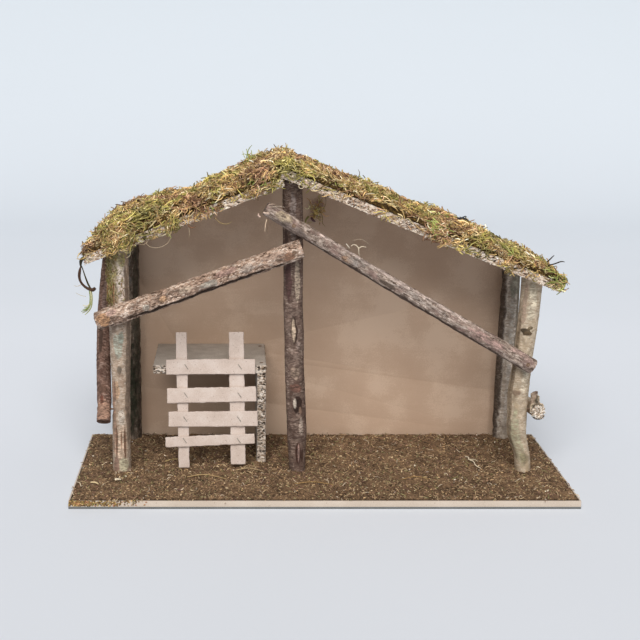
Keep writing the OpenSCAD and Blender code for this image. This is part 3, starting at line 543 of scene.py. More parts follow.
# %% Bark and end grain
def bark(name, shades, stain, spots, flake=(2.6, 2.2), streak=(2.2, 14), contrast=0.5, spot=3.2,
         soft=1.0):
    """Bark in four shades from its cracks to its ridges, with flakes, a stain and spots."""
    material, tree, shader = new_material(name, 0.86, 0.25)
    grain = add(tree, "Attribute", attribute_name="grain").outputs["Vector"]
    relief = add(tree, "Attribute", attribute_name="relief").outputs["Fac"]
    paint = add(tree, "Attribute", attribute_name="paint")
    drawn = add(tree, "Mapping", {"Vector": grain, "Scale": (1, 1, streak[0] / streak[1])}).outputs["Vector"]
    streaks = add(tree, "TexNoise", {"Vector": drawn, "Scale": per(streak[0]), "Detail": 6.0,
                                     "Roughness": 0.68})
    wobble = add(tree, "TexNoise", {"Vector": grain, "Scale": per(2.4), "Detail": 3.0})
    squat = add(tree, "Mapping", {"Vector": grain, "Scale": (1, 1, 1 / flake[1])}).outputs["Vector"]
    moved = add(tree, "VectorMath", {0: wobble.outputs["Color"], 1: (0.0028, 0.0028, 0.0028), 2: squat},
                operation="MULTIPLY_ADD").outputs["Vector"]
    cells = add(tree, "TexVoronoi", {"Vector": moved, "Scale": per(flake[0])})
    rims = add(tree, "TexVoronoi", {"Vector": moved, "Scale": per(flake[0])}, feature="DISTANCE_TO_EDGE")
    mixed = add(tree, "Mix", {0: 0.42, 2: streaks.outputs["Fac"], 3: cells.outputs["Color"]})
    tilt = add(tree, "Math", {0: relief, 1: 0.22 * contrast, 2: mixed.outputs["Result"]},
               operation="MULTIPLY_ADD")
    stops = [(0.5 + soft * at, hexa) for at, hexa in zip((-0.2, -0.05, 0.06, 0.2), shades)]
    shade = add(tree, "ValToRGB", {"Fac": tilt.outputs["Value"]}, stops).outputs["Color"]
    long = add(tree, "Mapping", {"Vector": grain, "Scale": (1, 1, 0.4)}).outputs["Vector"]
    cloud = add(tree, "TexNoise", {"Vector": long, "Scale": per(9), "Detail": 4.0})
    where = add(tree, "MapRange", {"Value": cloud.outputs["Fac"], "From Min": 0.5, "From Max": 0.64,
                                   "To Max": 0.7})
    stained = add(tree, "Mix", {0: where.outputs["Result"], 6: shade, 7: linear(stain)}, data_type="RGBA")
    dust = add(tree, "TexNoise", {"Vector": grain, "Scale": per(spot), "Detail": 5.0, "Roughness": 0.75})
    dusted = add(tree, "MapRange", {"Value": dust.outputs["Fac"], "From Min": 0.62, "From Max": 0.72,
                                    "To Max": 0.8 / soft})
    dotted = add(tree, "Mix", {0: dusted.outputs["Result"], 6: stained.outputs[2], 7: linear(spots)},
                 data_type="RGBA")
    frayed = add(tree, "Math", {0: paint.outputs["Alpha"], 1: mixed.outputs["Result"]}, operation="MULTIPLY")
    cover = add(tree, "MapRange", {"Value": frayed.outputs["Value"], "From Min": 0.14, "From Max": 0.42,
                                   "To Max": 0.95})
    level = add(tree, "MapRange", {"Value": tilt.outputs["Value"], "From Min": 0.36, "From Max": 0.64,
                                   "To Min": 0.5, "To Max": 1.15})
    uneven = add(tree, "VectorMath", {0: paint.outputs["Color"], 1: level.outputs["Result"]},
                 operation="MULTIPLY").outputs["Vector"]
    marked = add(tree, "Mix", {0: cover.outputs["Result"], 6: dotted.outputs[2], 7: uneven},
                 data_type="RGBA")
    cracks = add(tree, "MapRange", {"Value": rims.outputs["Distance"], "From Min": 0.02, "From Max": 0.14,
                                    "To Min": 1 - contrast, "To Max": 1.04})
    cracked = add(tree, "VectorMath", {0: marked.outputs[2], 1: cracks.outputs["Result"]},
                  operation="MULTIPLY").outputs["Vector"]
    broad = add(tree, "TexNoise", {"Vector": grain, "Scale": per(7), "Detail": 2.0})
    sway = add(tree, "MapRange", {"Value": broad.outputs["Fac"], "From Min": 0.36, "From Max": 0.64,
                                  "To Min": 0.8, "To Max": 1.16})
    swayed = add(tree, "VectorMath", {0: cracked, 1: sway.outputs["Result"]}, operation="MULTIPLY")
    tree.links.new(swayed.outputs["Vector"], shader.inputs["Base Color"])
    bump = add(tree, "Bump", {"Height": cracks.outputs["Result"], "Strength": 0.8,
                              "Distance": 0.6 * MM / soft})
    tree.links.new(bump.outputs["Normal"], shader.inputs["Normal"])
    return material


def end_grain(name, heart, ring, rim):
    """A sawn branch end: year rings a good millimetre apart and a dark rim of bark."""
    material, tree, shader = new_material(name, 0.8, 0.25)
    grain = add(tree, "Attribute", attribute_name="grain").outputs["Vector"]
    wave = add(tree, "TexWave", {"Vector": grain, "Scale": 2 * math.pi / (20 * 1.5 * MM), "Distortion": 1.6,
                                 "Detail": 2.0, "Detail Scale": 2.0}, wave_type="RINGS", rings_direction="Z")
    rings = add(tree, "Mix", {0: wave.outputs["Fac"], 6: linear(heart), 7: linear(ring)}, data_type="RGBA")
    flat = add(tree, "VectorMath", {0: grain, 1: (1, 1, 0)}, operation="MULTIPLY").outputs["Vector"]
    out = add(tree, "VectorMath", {0: flat}, operation="LENGTH").outputs["Value"]
    edge = add(tree, "MapRange", {"Value": out, "From Min": 8.0 * MM, "From Max": 9.2 * MM})
    rimmed = add(tree, "Mix", {0: edge.outputs["Result"], 6: rings.outputs[2], 7: linear(rim)},
                 data_type="RGBA")
    tree.links.new(rimmed.outputs[2], shader.inputs["Base Color"])
    rough = add(tree, "TexNoise", {"Vector": grain, "Scale": per(0.8), "Detail": 3.0})
    bump = add(tree, "Bump", {"Height": rough.outputs["Fac"], "Strength": 0.6, "Distance": 0.4 * MM})
    tree.links.new(bump.outputs["Normal"], shader.inputs["Normal"])
    return material


sawn = end_grain("sawn branch end", "c79d74", "a87850", "4a382c")
plum_bark = bark("plum brown bark", ("382a24", "64524a", "7c6a60", "a5958a"), "523f37", "a99c92",
                 flake=(3.2, 0.4), streak=(4.0, 1.3), contrast=0.2, spot=2.2, soft=1.5)
red_bark = bark("red brown bark", ("38261f", "674f45", "84695d", "a99388"), "4a342c", "a0948a",
                flake=(3.0, 0.5), streak=(3.6, 1.6), contrast=0.2, spot=2.4, soft=1.4)
dark_bark = bark("dark rough bark", ("40362f", "6a5c51", "85776a", "a3968a"), "4c433a", "9c948a",
                 flake=(1.8, 2.4), streak=(2.2, 6), contrast=0.34, spot=2.2, soft=1.3)
silver_bark = bark("warm grey bark", ("786b60", "a3978b", "bdb3a8", "d6cdc3"), "94877a", "dad2c8",
                   flake=(3.4, 0.5), streak=(4.0, 1.8), contrast=0.14, soft=1.4)
brown_bark = bark("flaking brown bark", ("463327", "9e8473", "c4a895", "e2d1c3"), "755f52", "ccc0b5",
                  flake=(1.4, 2.2), streak=(1.5, 4), contrast=0.42)
grey_bark = bark("grey pink bark", ("4e3f36", "8f7e73", "ac9c91", "cdbfb5"), "8b736c", "c2bbb3",
                 flake=(1.4, 3.2), streak=(1.7, 8), contrast=0.3, soft=1.1)
pale_bark = bark("pale smooth bark", ("86765f", "ad9c88", "bfb19d", "cfc4b1"), "a29179", "8a7460",
                 flake=(3.6, 0.35), streak=(4.2, 1.1), contrast=0.1, spot=2.6, soft=1.7)
peeled_bark = bark("pink beige bark", ("6a5748", "a4917f", "baaa9b", "d2c6ba"), "937e6d", "75665a",
                   flake=(3.2, 0.4), streak=(4.2, 1.2), contrast=0.16, spot=2.6, soft=1.6)
print("eight barks and one cut end")

# %% [markdown]
# ## The nine logs
# Four posts stand near the corners of the base and one in the middle, under the ridge. Two braces
# cross the front, one leans at the left side, and a rail falls to the back at the right. Each row
# names the part, the side that is its front, its relief, its slot, its bark, a seed and its marks,
# which were read off the picture, one branch after another.

# %% Posts, braces and rail
LOGS = [
    ("front_left_post", (0, -1, 0), ringed, "pale_bark", peeled_bark, 3, [
        (234, -4, 36, 9, 0, "ab9c82", 0.8), (222, 22, 32, 4.6, 0.2, "dccfc4", 1.0),
        (247, 30, 9, 5, 0.1, "989058", 0.7), (254, -6, 8, 4, 0.1, "857d4c", 0.7),
        (240, -48, 16, 5, 0.3, "8f8763", 0.7),
        (212, 52, 30, 3, -0.2, "7d6c5f", 0.8), (148, -8, 15, 5.5, 0.1, "a3a598", 0.75),
        (158, 12, 8, 3, 0.1, "8f978c", 0.7), (121, -2, 6, 3, -0.3, "6f655a", 0.8),
        (97, -20, 11, 3.2, -0.5, "cba98c", 1.0), (96, -38, 13, 1.4, -0.3, "6f5242", 0.9),
        (37, 0, 19, 7.5, -0.3, "d3bba6", 0.95), (38, -30, 17, 1.5, -0.5, "6a4b39", 1.0),
        (34, 29, 18, 1.6, -0.5, "7a5a47", 1.0), (40, 4, 12, 0.9, -0.5, "8a664f", 0.9),
        (10, 16, 8, 6.5, 0.4, "bcb59c", 0.95), (9, -32, 9, 4, 0.1, "9a7d70", 0.9),
        # The second mark in this row is painted shade: a long dark band down the post's right side.
        (70, -50, 45, 3.5, 0, "9c7d6b", 0.7), (110, 58, 90, 4.5, 0, "6a5b4f", 0.7),
        (66, 8, 9, 4, 0.1, "c9bdb0", 0.8), (176, -30, 12, 4, 0.1, "a58f7e", 0.7)]),
    ("centre_post", (0, -1, 0), ringed, "brown_bark", plum_bark, 5, [
        # The first mark below, down the middle of the upper post, and the pale one at 222 mm just right of
        # the middle are painted highlights.
        (292, 2, 34, 4.5, 0.1, "857a76", 0.6), (222, -34, 24, 5, -0.1, "573f3d", 0.8),
        (222, 24, 26, 3.6, 0.1, "ad9c8b", 0.85), (262, -46, 18, 3, 0, "4a3833", 0.8),
        (169, 0, 19, 3.8, 0.3, "33231e", 1.0), (169, -3, 15, 2.2, -0.9, "c0ac97", 1.0),
        (150, 26, 5, 4, 0.1, "93827a", 0.7), (140, 4, 5, 7, 0.1, "857268", 0.6),
        (118, 0, 9, 5, 0.1, "9a8677", 0.8), (101, 4, 5.5, 7.5, 0.3, "73554a", 0.9),
        (81, 8, 11, 6.5, -0.9, "33231d", 1.0), (83, -8, 6, 2.4, 0.7, "d6c9ba", 1.0),
        (74, 24, 5, 2.2, 0.3, "8f7463", 0.9), (56, 26, 12, 3, 0.1, "ac9c90", 0.8),
        (24, 4, 14, 3.4, -0.4, "432c25", 1.0), (24, 7, 11, 1.2, 0, "b0938a", 0.9),
        (20, 34, 9, 2, -0.3, "4b352d", 0.9)]),
    ("front_right_post", (0, -1, 0), pored, "pale_bark", pale_bark, 7, [
        (167, -22, 3.2, 5, 0.9, "44382a", 1.0), (163.5, -6, 2.4, 5, 0.5, "54432f", 1.0),
        (170, 4, 2.2, 3, 0.4, "5a4c35", 0.9), (40, -22, 34, 7, 0, "a3a287", 0.6),
        (120, 20, 26, 5, 0, "ccc1ae", 0.7), (200, 0, 22, 5, 0.1, "cfc5b0", 0.7),
        (196, -40, 26, 3, 0, "a28c7c", 0.7), (95, -24, 3.5, 5, 0.3, "8a7462", 0.8),
        # The last mark is painted shade: a long dark band down the post's left side.
        (18, 12, 6, 6, 0.1, "8d8266", 0.6), (100, -62, 90, 3.5, 0, "6f5f4c", 0.7)]),
    ("rear_left_post", (0, -1, 0), furrowed, "dark_bark", dark_bark, 11, [
        # The first mark darkens the post's right side: partly its dark green bark, partly painted shade.
        (130, 46, 150, 6, 0, "35372a", 0.6), (210, -14, 34, 5, 0, "857e78", 0.8),
        (60, 10, 60, 5, 0, "2c3022", 0.8)]),
    ("rear_right_post", (0, -1, 0), ringed, "brown_bark", silver_bark, 13, [
        # The first mark is painted shade down the post's left side; it also swells that side by 2.8 mm.
        (110, -70, 135, 7, 2.8, "4c4038", 0.9), (150, 2, 70, 3.6, 0, "9c9892", 0.5),
        (60, 6, 40, 4.5, 0, "a39b93", 0.6), (110, 50, 130, 3.5, 0, "6f6552", 0.7),
        (196, 10, 16, 6, 0, "8b8877", 0.6)]),
    ("left_front_brace", (0, -1, 0), furrowed, "dark_bark", brown_bark, 17, [
        (78, -8, 5, 4.5, 0.4, "bd9a7c", 0.9), (58, 10, 4, 4, 0.4, "cfc4b6", 0.9),
        (9, 0, 8, 8, 0.2, "b8906f", 1.0), (20, -30, 6, 4, 0.2, "c9a99c", 0.9),
        (104, -15, 9, 4, 0.3, "bba795", 0.8), (130, 5, 12, 4, 0.3, "a8a196", 0.8),
        (152, -30, 13, 4, 0.2, "a98a80", 0.7), (176, -10, 8, 5, 0.4, "b7a79b", 0.8),
        (205, -25, 14, 4, 0.3, "b59c8c", 0.8), (120, 52, 100, 3, -0.7, "2c201a", 0.9),
        (224, 12, 7, 5, 0.2, "93705b", 0.8)]),
    ("right_front_brace", (0, -1, 0), scaly, "brown_bark", grey_bark, 19, [
        (180, 56, 120, 3, 0.3, "c9b8b0", 0.8), (244, -10, 7, 4, 0.2, "aa8a72", 0.7),
        (232, 15, 12, 5, 0.2, "9b928c", 0.6), (150, 14, 40, 3, 0.2, "a89e98", 0.5),
        # The first mark is painted shade: a dark band along the brace's underside.
        (160, -62, 150, 3, -0.3, "5a4a41", 0.8), (60, 10, 26, 5, 0.1, "a98d86", 0.7),
        (20, 45, 18, 4, 0.2, "b79d94", 0.8), (310, -20, 20, 5, 0.2, "8a7b74", 0.7),
        (325, 20, 10, 6, 0.3, "b8a68f", 0.8), (190, -15, 14, 3, -0.3, "54463c", 0.7)]),
    ("left_side_brace", (-1, 0, 0), ringed, "dark_bark", red_bark, 23, [
        (36, 78, 6, 6, 1.2, "5d463b", 0.8), (10, 84, 12, 12, 0, "a0806e", 0.9),
        (24, 74, 6, 2, -0.3, "6b4437", 0.9), (150, 90, 26, 4, 0.1, "94817a", 0.6),
        (100, 70, 20, 3, -0.3, "41332c", 0.7)]),
    ("right_side_rail", (1, 0, 0), pored, "pale_bark", pale_bark, 29, [
        (10, 0, 8, 8, 0.2, "c9b8a2", 0.8), (70, 20, 12, 5, 0.2, "b1a58f", 0.6)]),
]
for node, front, kind, slot, material, seed, marks in LOGS:
    skin = log_skin(node, front, kind, marks, seed)
    settle(skin, node, [material, sawn])
    print(node, len(skin.data.polygons), "faces")

# %% [markdown]
# ## Copies of the frame's boards with eased edges
# Sawn boards have no perfectly sharp edges: a corner that catches the light makes them look real.
# The frame's own mesh is loose triangles and is left alone. A copy of it is merged into a closed
# shell, its flat faces are joined, and a bevel of a few tenths of a millimetre eases its edges.
# Where a board is rough all over, a remesh gives the copy an even net of small faces instead, and
# noise moves them a little, as torn fibres and chips do.

# %% Eased and rough copies
def copy_of(node, name):
    """A merged copy of a part of the frame, with nothing of its first materials or normals."""
    piece = bpy.data.objects.new(name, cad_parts[node].data.copy())
    bpy.context.scene.collection.objects.link(piece)
    only(piece)
    bpy.ops.mesh.customdata_custom_splitnormals_clear()
    piece.data.materials.clear()
    bpy.ops.object.mode_set(mode="EDIT")
    bpy.ops.mesh.select_all(action="SELECT")
    bpy.ops.mesh.remove_doubles(threshold=0.00001)
    bpy.ops.mesh.faces_shade_flat()
    bpy.ops.object.mode_set(mode="OBJECT")
    return piece


def eased(node, name, width):
    """A copy whose edges are rounded by a bevel of this many millimetres."""
    piece = copy_of(node, name)
    bpy.ops.object.mode_set(mode="EDIT")
    bpy.ops.mesh.select_all(action="SELECT")
    bpy.ops.mesh.dissolve_limited(angle_limit=math.radians(0.5))
    bpy.ops.object.mode_set(mode="OBJECT")
    bevel = piece.modifiers.new("eased edges", "BEVEL")
    bevel.width = width * MM
    bevel.segments = 2
    bevel.limit_method = "ANGLE"
    bevel.angle_limit = math.radians(50)
    bpy.ops.object.modifier_apply(modifier=bevel.name)
    bpy.ops.object.shade_smooth_by_angle(angle=math.radians(35))
    return piece


def remeshed(node, name, size):
    """A copy with an even net of faces of this size in millimetres."""
    piece = copy_of(node, name)
    remesh = piece.modifiers.new("even net", "REMESH")
    remesh.mode = "VOXEL"
    remesh.voxel_size = size * MM
    bpy.ops.object.modifier_apply(modifier=remesh.name)
    return piece


def point_normals(piece):
    """The outward direction at each point of a mesh."""
    out = np.empty(len(piece.data.vertices) * 3)
    piece.data.vertex_normals.foreach_get("vector", out)
    return out.reshape(-1, 3)


def push(piece, height):
    """Moves each point outwards by its own height in millimetres."""
    points = mesh_arrays(piece.data)[0]
    moved = points + point_normals(piece) * (np.asarray(height) * MM)[:, None]
    piece.data.vertices.foreach_set("co", moved.ravel())
    piece.data.update()


# %% [markdown]
# ## The base
# The base is a sheet of raw fibreboard, six and a half millimetres thick, on a thinner white one.
# Raw fibreboard is pinkish beige with fine felted fibres, a little darker where the saw heated it.
# The white sheet is slightly chalky, and its sides are painted dark grey: painted shade in the gap
# under the base. Both are sanded flat, so an eased copy is all the shape that they need, and the
# fibres are drawn finer than a millimetre in the colour and the bump.

# %% Fibreboard and white backing
def felted(name, shades, speck, roughness=0.85, fibre=1.1, cloud_size=35, specks=0.16):
    """Pressed fibres: soft clouds of colour with short fibres and a few darker specks."""
    material, tree, shader = new_material(name, roughness, 0.2)
    place = add(tree, "TexCoord").outputs["Object"]
    cloud = add(tree, "TexNoise", {"Vector": place, "Scale": per(cloud_size), "Detail": 3.0})
    fibres = add(tree, "TexNoise", {"Vector": place, "Scale": per(fibre), "Detail": 5.0, "Roughness": 0.75})
    both = add(tree, "Math", {0: cloud.outputs["Fac"], 1: 0.5, 2: fibres.outputs["Fac"]},
               operation="MULTIPLY_ADD")
    tone = add(tree, "ValToRGB", {"Fac": both.outputs["Value"]}, list(zip((0.5, 0.74, 0.98), shades)))
    cells = add(tree, "TexVoronoi", {"Vector": place, "Scale": per(fibre * 4)})
    dots = add(tree, "MapRange", {"Value": cells.outputs["Distance"], "From Min": specks, "From Max": 0.05,
                                  "To Max": 0.8})
    dotted = add(tree, "Mix", {0: dots.outputs["Result"], 6: tone.outputs["Color"], 7: linear(speck)},
                 data_type="RGBA")
    tree.links.new(dotted.outputs[2], shader.inputs["Base Color"])
    bump = add(tree, "Bump", {"Height": fibres.outputs["Fac"], "Strength": 0.35, "Distance": 0.25 * MM})
    tree.links.new(bump.outputs["Normal"], shader.inputs["Normal"])
    return material


fibreboard = felted("raw fibreboard", ("b2a497", "c1b4a7", "cbc0b5"), "8e7563")
white_sheet = felted("white backing sheet", ("d6d3cc", "e0ddd7", "e9e7e2"), "c3beb5", 0.7, 0.9, 60, 0.1)
backing_rim_painted_shade = felted("backing rim painted as shade", ("5b5d5c", "696b6b", "787979"), "4a4b4a", 0.85, 0.9, 40, 0.2)
settle(eased("base_board", "fibreboard_sheet", 0.5), "base_board", [fibreboard])
sheet = settle(eased("base_backing", "backing_sheet", 0.4), "base_backing",
               [white_sheet, backing_rim_painted_shade])
# The sides of the backing get the dark grey rim: painted shade of the gap under the base.
for face in sheet.data.polygons:
    face.material_index = 1 if abs(face.normal.z) < 0.8 else 0
print("base of two sheets")

# %% [markdown]
# ## The back panel
# The rear wall is a sheet of brown hardboard. Its smooth side shows a soft kraft-brown cloudiness, a
# few faint horizontal scuffs and very fine fibres, and it is a little glossier than the base. Its
# rear side is the same board, so one material serves both.

# %% Hardboard
hardboard, tree, shader = new_material("brown hardboard", 0.62, 0.3)
place = add(tree, "TexCoord").outputs["Object"]
cloud = add(tree, "TexNoise", {"Vector": place, "Scale": per(45), "Detail": 4.0})
drawn = add(tree, "Mapping", {"Vector": place, "Scale": (0.12, 1, 1)}).outputs["Vector"]
scuff = add(tree, "TexNoise", {"Vector": drawn, "Scale": per(7), "Detail": 4.0, "Roughness": 0.6})
fibres = add(tree, "TexNoise", {"Vector": place, "Scale": per(1.3), "Detail": 4.0, "Roughness": 0.7})
soft = add(tree, "Math", {0: scuff.outputs["Fac"], 1: 0.2, 2: cloud.outputs["Fac"]},
           operation="MULTIPLY_ADD")
fine = add(tree, "Math", {0: fibres.outputs["Fac"], 1: 0.6, 2: soft.outputs["Value"]},
           operation="MULTIPLY_ADD")
tone = add(tree, "ValToRGB", {"Fac": fine.outputs["Value"]},
           [(0.5, "c0a48e"), (0.9, "cab09a"), (1.3, "d4bca7")])
tree.links.new(tone.outputs["Color"], shader.inputs["Base Color"])
bump = add(tree, "Bump", {"Height": fibres.outputs["Fac"], "Strength": 0.25, "Distance": 0.15 * MM})
tree.links.new(bump.outputs["Normal"], shader.inputs["Normal"])
settle(eased("back_panel", "hardboard_sheet", 0.4), "back_panel", [hardboard])
print("back panel of hardboard")

# %% [markdown]
# ## Chipboard, the roof boards and the platform
# Chipboard is pressed from flat chips of pale wood. Its faces are smooth and mottled, but a sawn
# edge is coarse: cream chips lie in layers with brown gaps between them. The colour is a pattern of
# stretched cells for the chips over a darker ground. On the roof's edges the chips also stand out
# as small solids of their own, because those edges are the nearest thing to the viewer.

# %% Chipboard
def chipboard(name, dark, shades, chip=(3.4, 1.5), gap=0.45):
    """Cream chips in layers, with dark gaps between them."""
    material, tree, shader = new_material(name, 0.88, 0.2)
    place = add(tree, "TexCoord").outputs["Object"]
    drawn = add(tree, "Mapping", {"Vector": place, "Scale": (chip[1] / chip[0], chip[1] / chip[0], 1)})
    wobble = add(tree, "TexNoise", {"Vector": place, "Scale": per(2.5), "Detail": 3.0})
    moved = add(tree, "VectorMath", {0: wobble.outputs["Color"], 1: (0.002, 0.002, 0.002),
                                     2: drawn.outputs["Vector"]}, operation="MULTIPLY_ADD")
    cells = add(tree, "TexVoronoi", {"Vector": moved.outputs["Vector"], "Scale": per(chip[1])})
    tone = add(tree, "ValToRGB", {"Fac": cells.outputs["Color"]}, list(zip((0.15, 0.5, 0.85), shades)))
    gaps = add(tree, "TexNoise", {"Vector": moved.outputs["Vector"], "Scale": per(chip[1] * 1.1),
                                  "Detail": 5.0, "Roughness": 0.7})
    open_ = add(tree, "MapRange", {"Value": gaps.outputs["Fac"], "From Min": gap, "From Max": gap - 0.09})
    mixed = add(tree, "Mix", {0: open_.outputs["Result"], 6: tone.outputs["Color"], 7: linear(dark)},
                data_type="RGBA")
    tree.links.new(mixed.outputs[2], shader.inputs["Base Color"])
    bump = add(tree, "Bump", {"Height": gaps.outputs["Fac"], "Strength": 0.8, "Distance": 0.6 * MM})
    tree.links.new(bump.outputs["Normal"], shader.inputs["Normal"])
    return material


chip_edge = chipboard("sawn chipboard edge", "3a2b22", ("b09a84", "d6c6b4", "ebe1d4"), (4.0, 1.9), 0.47)
chip_face = felted("pressed chipboard face", ("a48c6e", "bda888", "d3c2a4"), "8a6f52", 0.7, 2.6, 18, 0.3)

left_board = settle(eased("left_roof_board", "left_roof_chipboard", 0.6), "left_roof_board",
                    [chip_face, chip_edge])
right_board = settle(eased("right_roof_board", "right_roof_chipboard", 0.6), "right_roof_board",
                     [chip_face, chip_edge])
for board in (left_board, right_board):
    for face in board.data.polygons:
        face.material_index = 0 if abs(face.normal.z) > 0.7 else 1

# %% Platform
smooth_side = felted("grey coated board", ("98918a", "b1aaa3", "cac4bd"), "857d74", 0.5, 1.6, 14, 0.12)
coarse_edge = chipboard("coarse chipboard edge", "2c221c", ("8f7b69", "cabbac", "e8dfd5"), (3.0, 1.7), 0.515)
for node, name, slot, flat_axis in (("platform_top", "platform_board", "platform_board", 2),
                                    ("platform_side_board", "platform_side", "chipboard", 0)):
    piece = remeshed(node, name, 1.3)
    points, facing = mesh_arrays(piece.data)[0], point_normals(piece)
    edge = np.abs(facing[:, flat_axis]) < 0.8
    push(piece, np.where(edge, 0.55 * weathered(points, (3.2, 3.2, 1.6), 31) - 0.1,
                         0.08 * weathered(points, 9, 32)))
    settle(piece, node, [smooth_side, coarse_edge])
    for face in piece.data.polygons:
        face.material_index = 0 if abs(face.normal[flat_axis]) > 0.8 else 1
    only(piece)
    bpy.ops.object.shade_smooth_by_angle(angle=math.radians(50))
print("roof boards and platform")

# %% [markdown]
# ## The fence
# The little fence is six strips of pinkish fibreboard, cut by hand and stapled together. Their faces
# are matt and speckled with fine brown fibres, and their edges are slightly ragged. Each strip is a
# remeshed copy whose points are moved by noise: a slow wave for the hand-made cut, and a finer one
# for the torn fibres.

# %% Fence strips
strip_board = felted("pale pinkish fibreboard", ("b3a399", "c7b8af", "d4cac4"), "7f655a",
                     0.85, 0.9, 14, 0.17)
STRIPS = ("left_stile", "right_stile", "top_rail", "upper_rail", "lower_rail", "bottom_rail")
for k, part in enumerate(STRIPS):
    piece = remeshed("fence_" + part, "strip_" + part, 0.75)
    points = mesh_arrays(piece.data)[0]
    facing = point_normals(piece)
    rim = np.clip(1.3 - np.abs(facing[:, 1]) * 1.3, 0.12, 1)
    push(piece, rim * (0.45 * lumps(points, 7, 50 + k) + 0.5 * weathered(points, 1.8, 60 + k)))
    settle(piece, "fence_" + part, [strip_board])
    only(piece)
    bpy.ops.object.shade_smooth_by_angle(angle=math.radians(60))
print("six strips")

# %% [markdown]
# ## Fixings
# Screws, nails, staples and beads of glue are small and mostly hidden, and the frame already gives
# their true shapes, so they keep them. Steel that has lain in damp wood is dull and mottled: its
# colour and roughness vary over a few millimetres. Hot glue is a clear, slightly yellow plastic.

# %% Steel and glue on the frame's own parts
steel, tree, shader = new_material("dull zinced steel", 0.45)
shader.inputs["Metallic"].default_value = 1.0
place = add(tree, "TexCoord").outputs["Object"]
cloud = add(tree, "TexNoise", {"Vector": place, "Scale": per(1.5), "Detail": 4.0})
tone = add(tree, "ValToRGB", {"Fac": cloud.outputs["Fac"]},
           [(0.3, "77706a"), (0.55, "a09a92"), (0.8, "c4beb6")])
dull = add(tree, "MapRange", {"Value": cloud.outputs["Fac"], "To Min": 0.45, "To Max": 0.8})
tree.links.new(tone.outputs["Color"], shader.inputs["Base Color"])
tree.links.new(dull.outputs["Result"], shader.inputs["Roughness"])

rusty, tree, shader = new_material("rusted wire nail", 0.8, 0.2)
place = add(tree, "TexCoord").outputs["Object"]
cloud = add(tree, "TexNoise", {"Vector": place, "Scale": per(1.2), "Detail": 4.0})
tone = add(tree, "ValToRGB", {"Fac": cloud.outputs["Fac"]},
           [(0.35, "5c483b"), (0.55, "7d6757"), (0.75, "9a8675")])
tree.links.new(tone.outputs["Color"], shader.inputs["Base Color"])
bump = add(tree, "Bump", {"Height": cloud.outputs["Fac"], "Strength": 0.6, "Distance": 0.2 * MM})
tree.links.new(bump.outputs["Normal"], shader.inputs["Normal"])

glue, tree, shader = new_material("clear hot glue", 0.25)
shader.inputs["Transmission Weight"].default_value = 0.5
shader.inputs["IOR"].default_value = 1.48
place = add(tree, "TexCoord").outputs["Object"]
cloud = add(tree, "TexNoise", {"Vector": place, "Scale": per(2), "Detail": 2.0})
tone = add(tree, "ValToRGB", {"Fac": cloud.outputs["Fac"]}, [(0.3, "d9cfae"), (0.7, "efe9d4")])
tree.links.new(tone.outputs["Color"], shader.inputs["Base Color"])
bump = add(tree, "Bump", {"Height": cloud.outputs["Fac"], "Strength": 0.4, "Distance": 0.3 * MM})
tree.links.new(bump.outputs["Normal"], shader.inputs["Normal"])

for node in ("post_screws", "roof_nails", "brace_nails", "side_nails", "panel_nails", "platform_nails",
             "fence_staples", "fence_glue"):
    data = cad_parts[node].data
    data.materials.clear()
    data.materials.append(glue if node == "fence_glue" else rusty if "nails" in node else steel)
print("fixings keep their frame shapes")

# %% [markdown]
# ## Scattering small shapes
# Moss, granules and chips are thousands of small things. Each kind is modelled a few times with a
# few dozen faces, and then copied over a surface with numpy: every copy has a place, three
# directions, a size and its own tint, and all copies together are one mesh. The tint is kept on the
# points, where the material reads it.

# %% Scatter helpers
def take_arrays(piece):
    """The points and the triangles of a model, which is then removed."""
    points, corners = mesh_arrays(piece.data)
    data = piece.data
    bpy.data.objects.remove(piece)
    bpy.data.meshes.remove(data)
    return points, corners


def mesh_piece(name, points, corners):
    """A new object from arrays of points and triangles."""
    data = bpy.data.meshes.new(name)
    data.vertices.add(len(points))
    data.vertices.foreach_set("co", np.ascontiguousarray(points, dtype=np.float32).ravel())
    data.loops.add(len(corners) * 3)
    data.loops.foreach_set("vertex_index", np.ascontiguousarray(corners, dtype=np.int32).ravel())
    data.polygons.add(len(corners))
    data.polygons.foreach_set("loop_start", np.arange(len(corners), dtype=np.int32) * 3)
    data.update(calc_edges=True)
    piece = bpy.data.objects.new(name, data)
    bpy.context.scene.collection.objects.link(piece)
    return piece


def scatter(name, shapes, spots, frames, sizes, tints, rng):
    """One mesh with a copy of a random shape at each spot. Sizes are millimetres for each unit."""
    pick = rng.integers(len(shapes), size=len(spots))
    sizes = np.broadcast_to(np.asarray(sizes, dtype=float).reshape(len(spots), -1), (len(spots), 3))
    points, corners, shades, total = [], [], [], 0
    for k, (shape, faces) in enumerate(shapes):
        mine = np.nonzero(pick == k)[0]
        turned = np.einsum("nij,nvj->nvi", frames[mine], shape[None] * sizes[mine][:, None] * MM)
        placed = turned + spots[mine][:, None]
        points.append(placed.reshape(-1, 3))
        start = total + np.arange(len(mine)) * len(shape)
        corners.append((faces[None] + start[:, None, None]).reshape(-1, 3))
        shades.append(np.repeat(tints[mine], len(shape), 0))
        total += len(mine) * len(shape)
    piece = mesh_piece(name, np.concatenate(points), np.concatenate(corners))
    keep_values(piece, "tint", np.concatenate(shades))
    print("  %s: %d copies, %d triangles" % (name, len(spots), sum(len(c) for c in corners)))
    return piece


def unit(vectors):
    """The same directions, each one unit long."""
    return vectors / np.maximum(np.linalg.norm(vectors, axis=1), 1e-9)[:, None]


def lying(normals, headings):
    """Directions for copies that lie on a surface: x is the heading, z stands up from the surface."""
    flat = unit(headings - normals * (headings * normals).sum(1)[:, None])
    return np.stack([flat, np.cross(normals, flat), normals], 2)


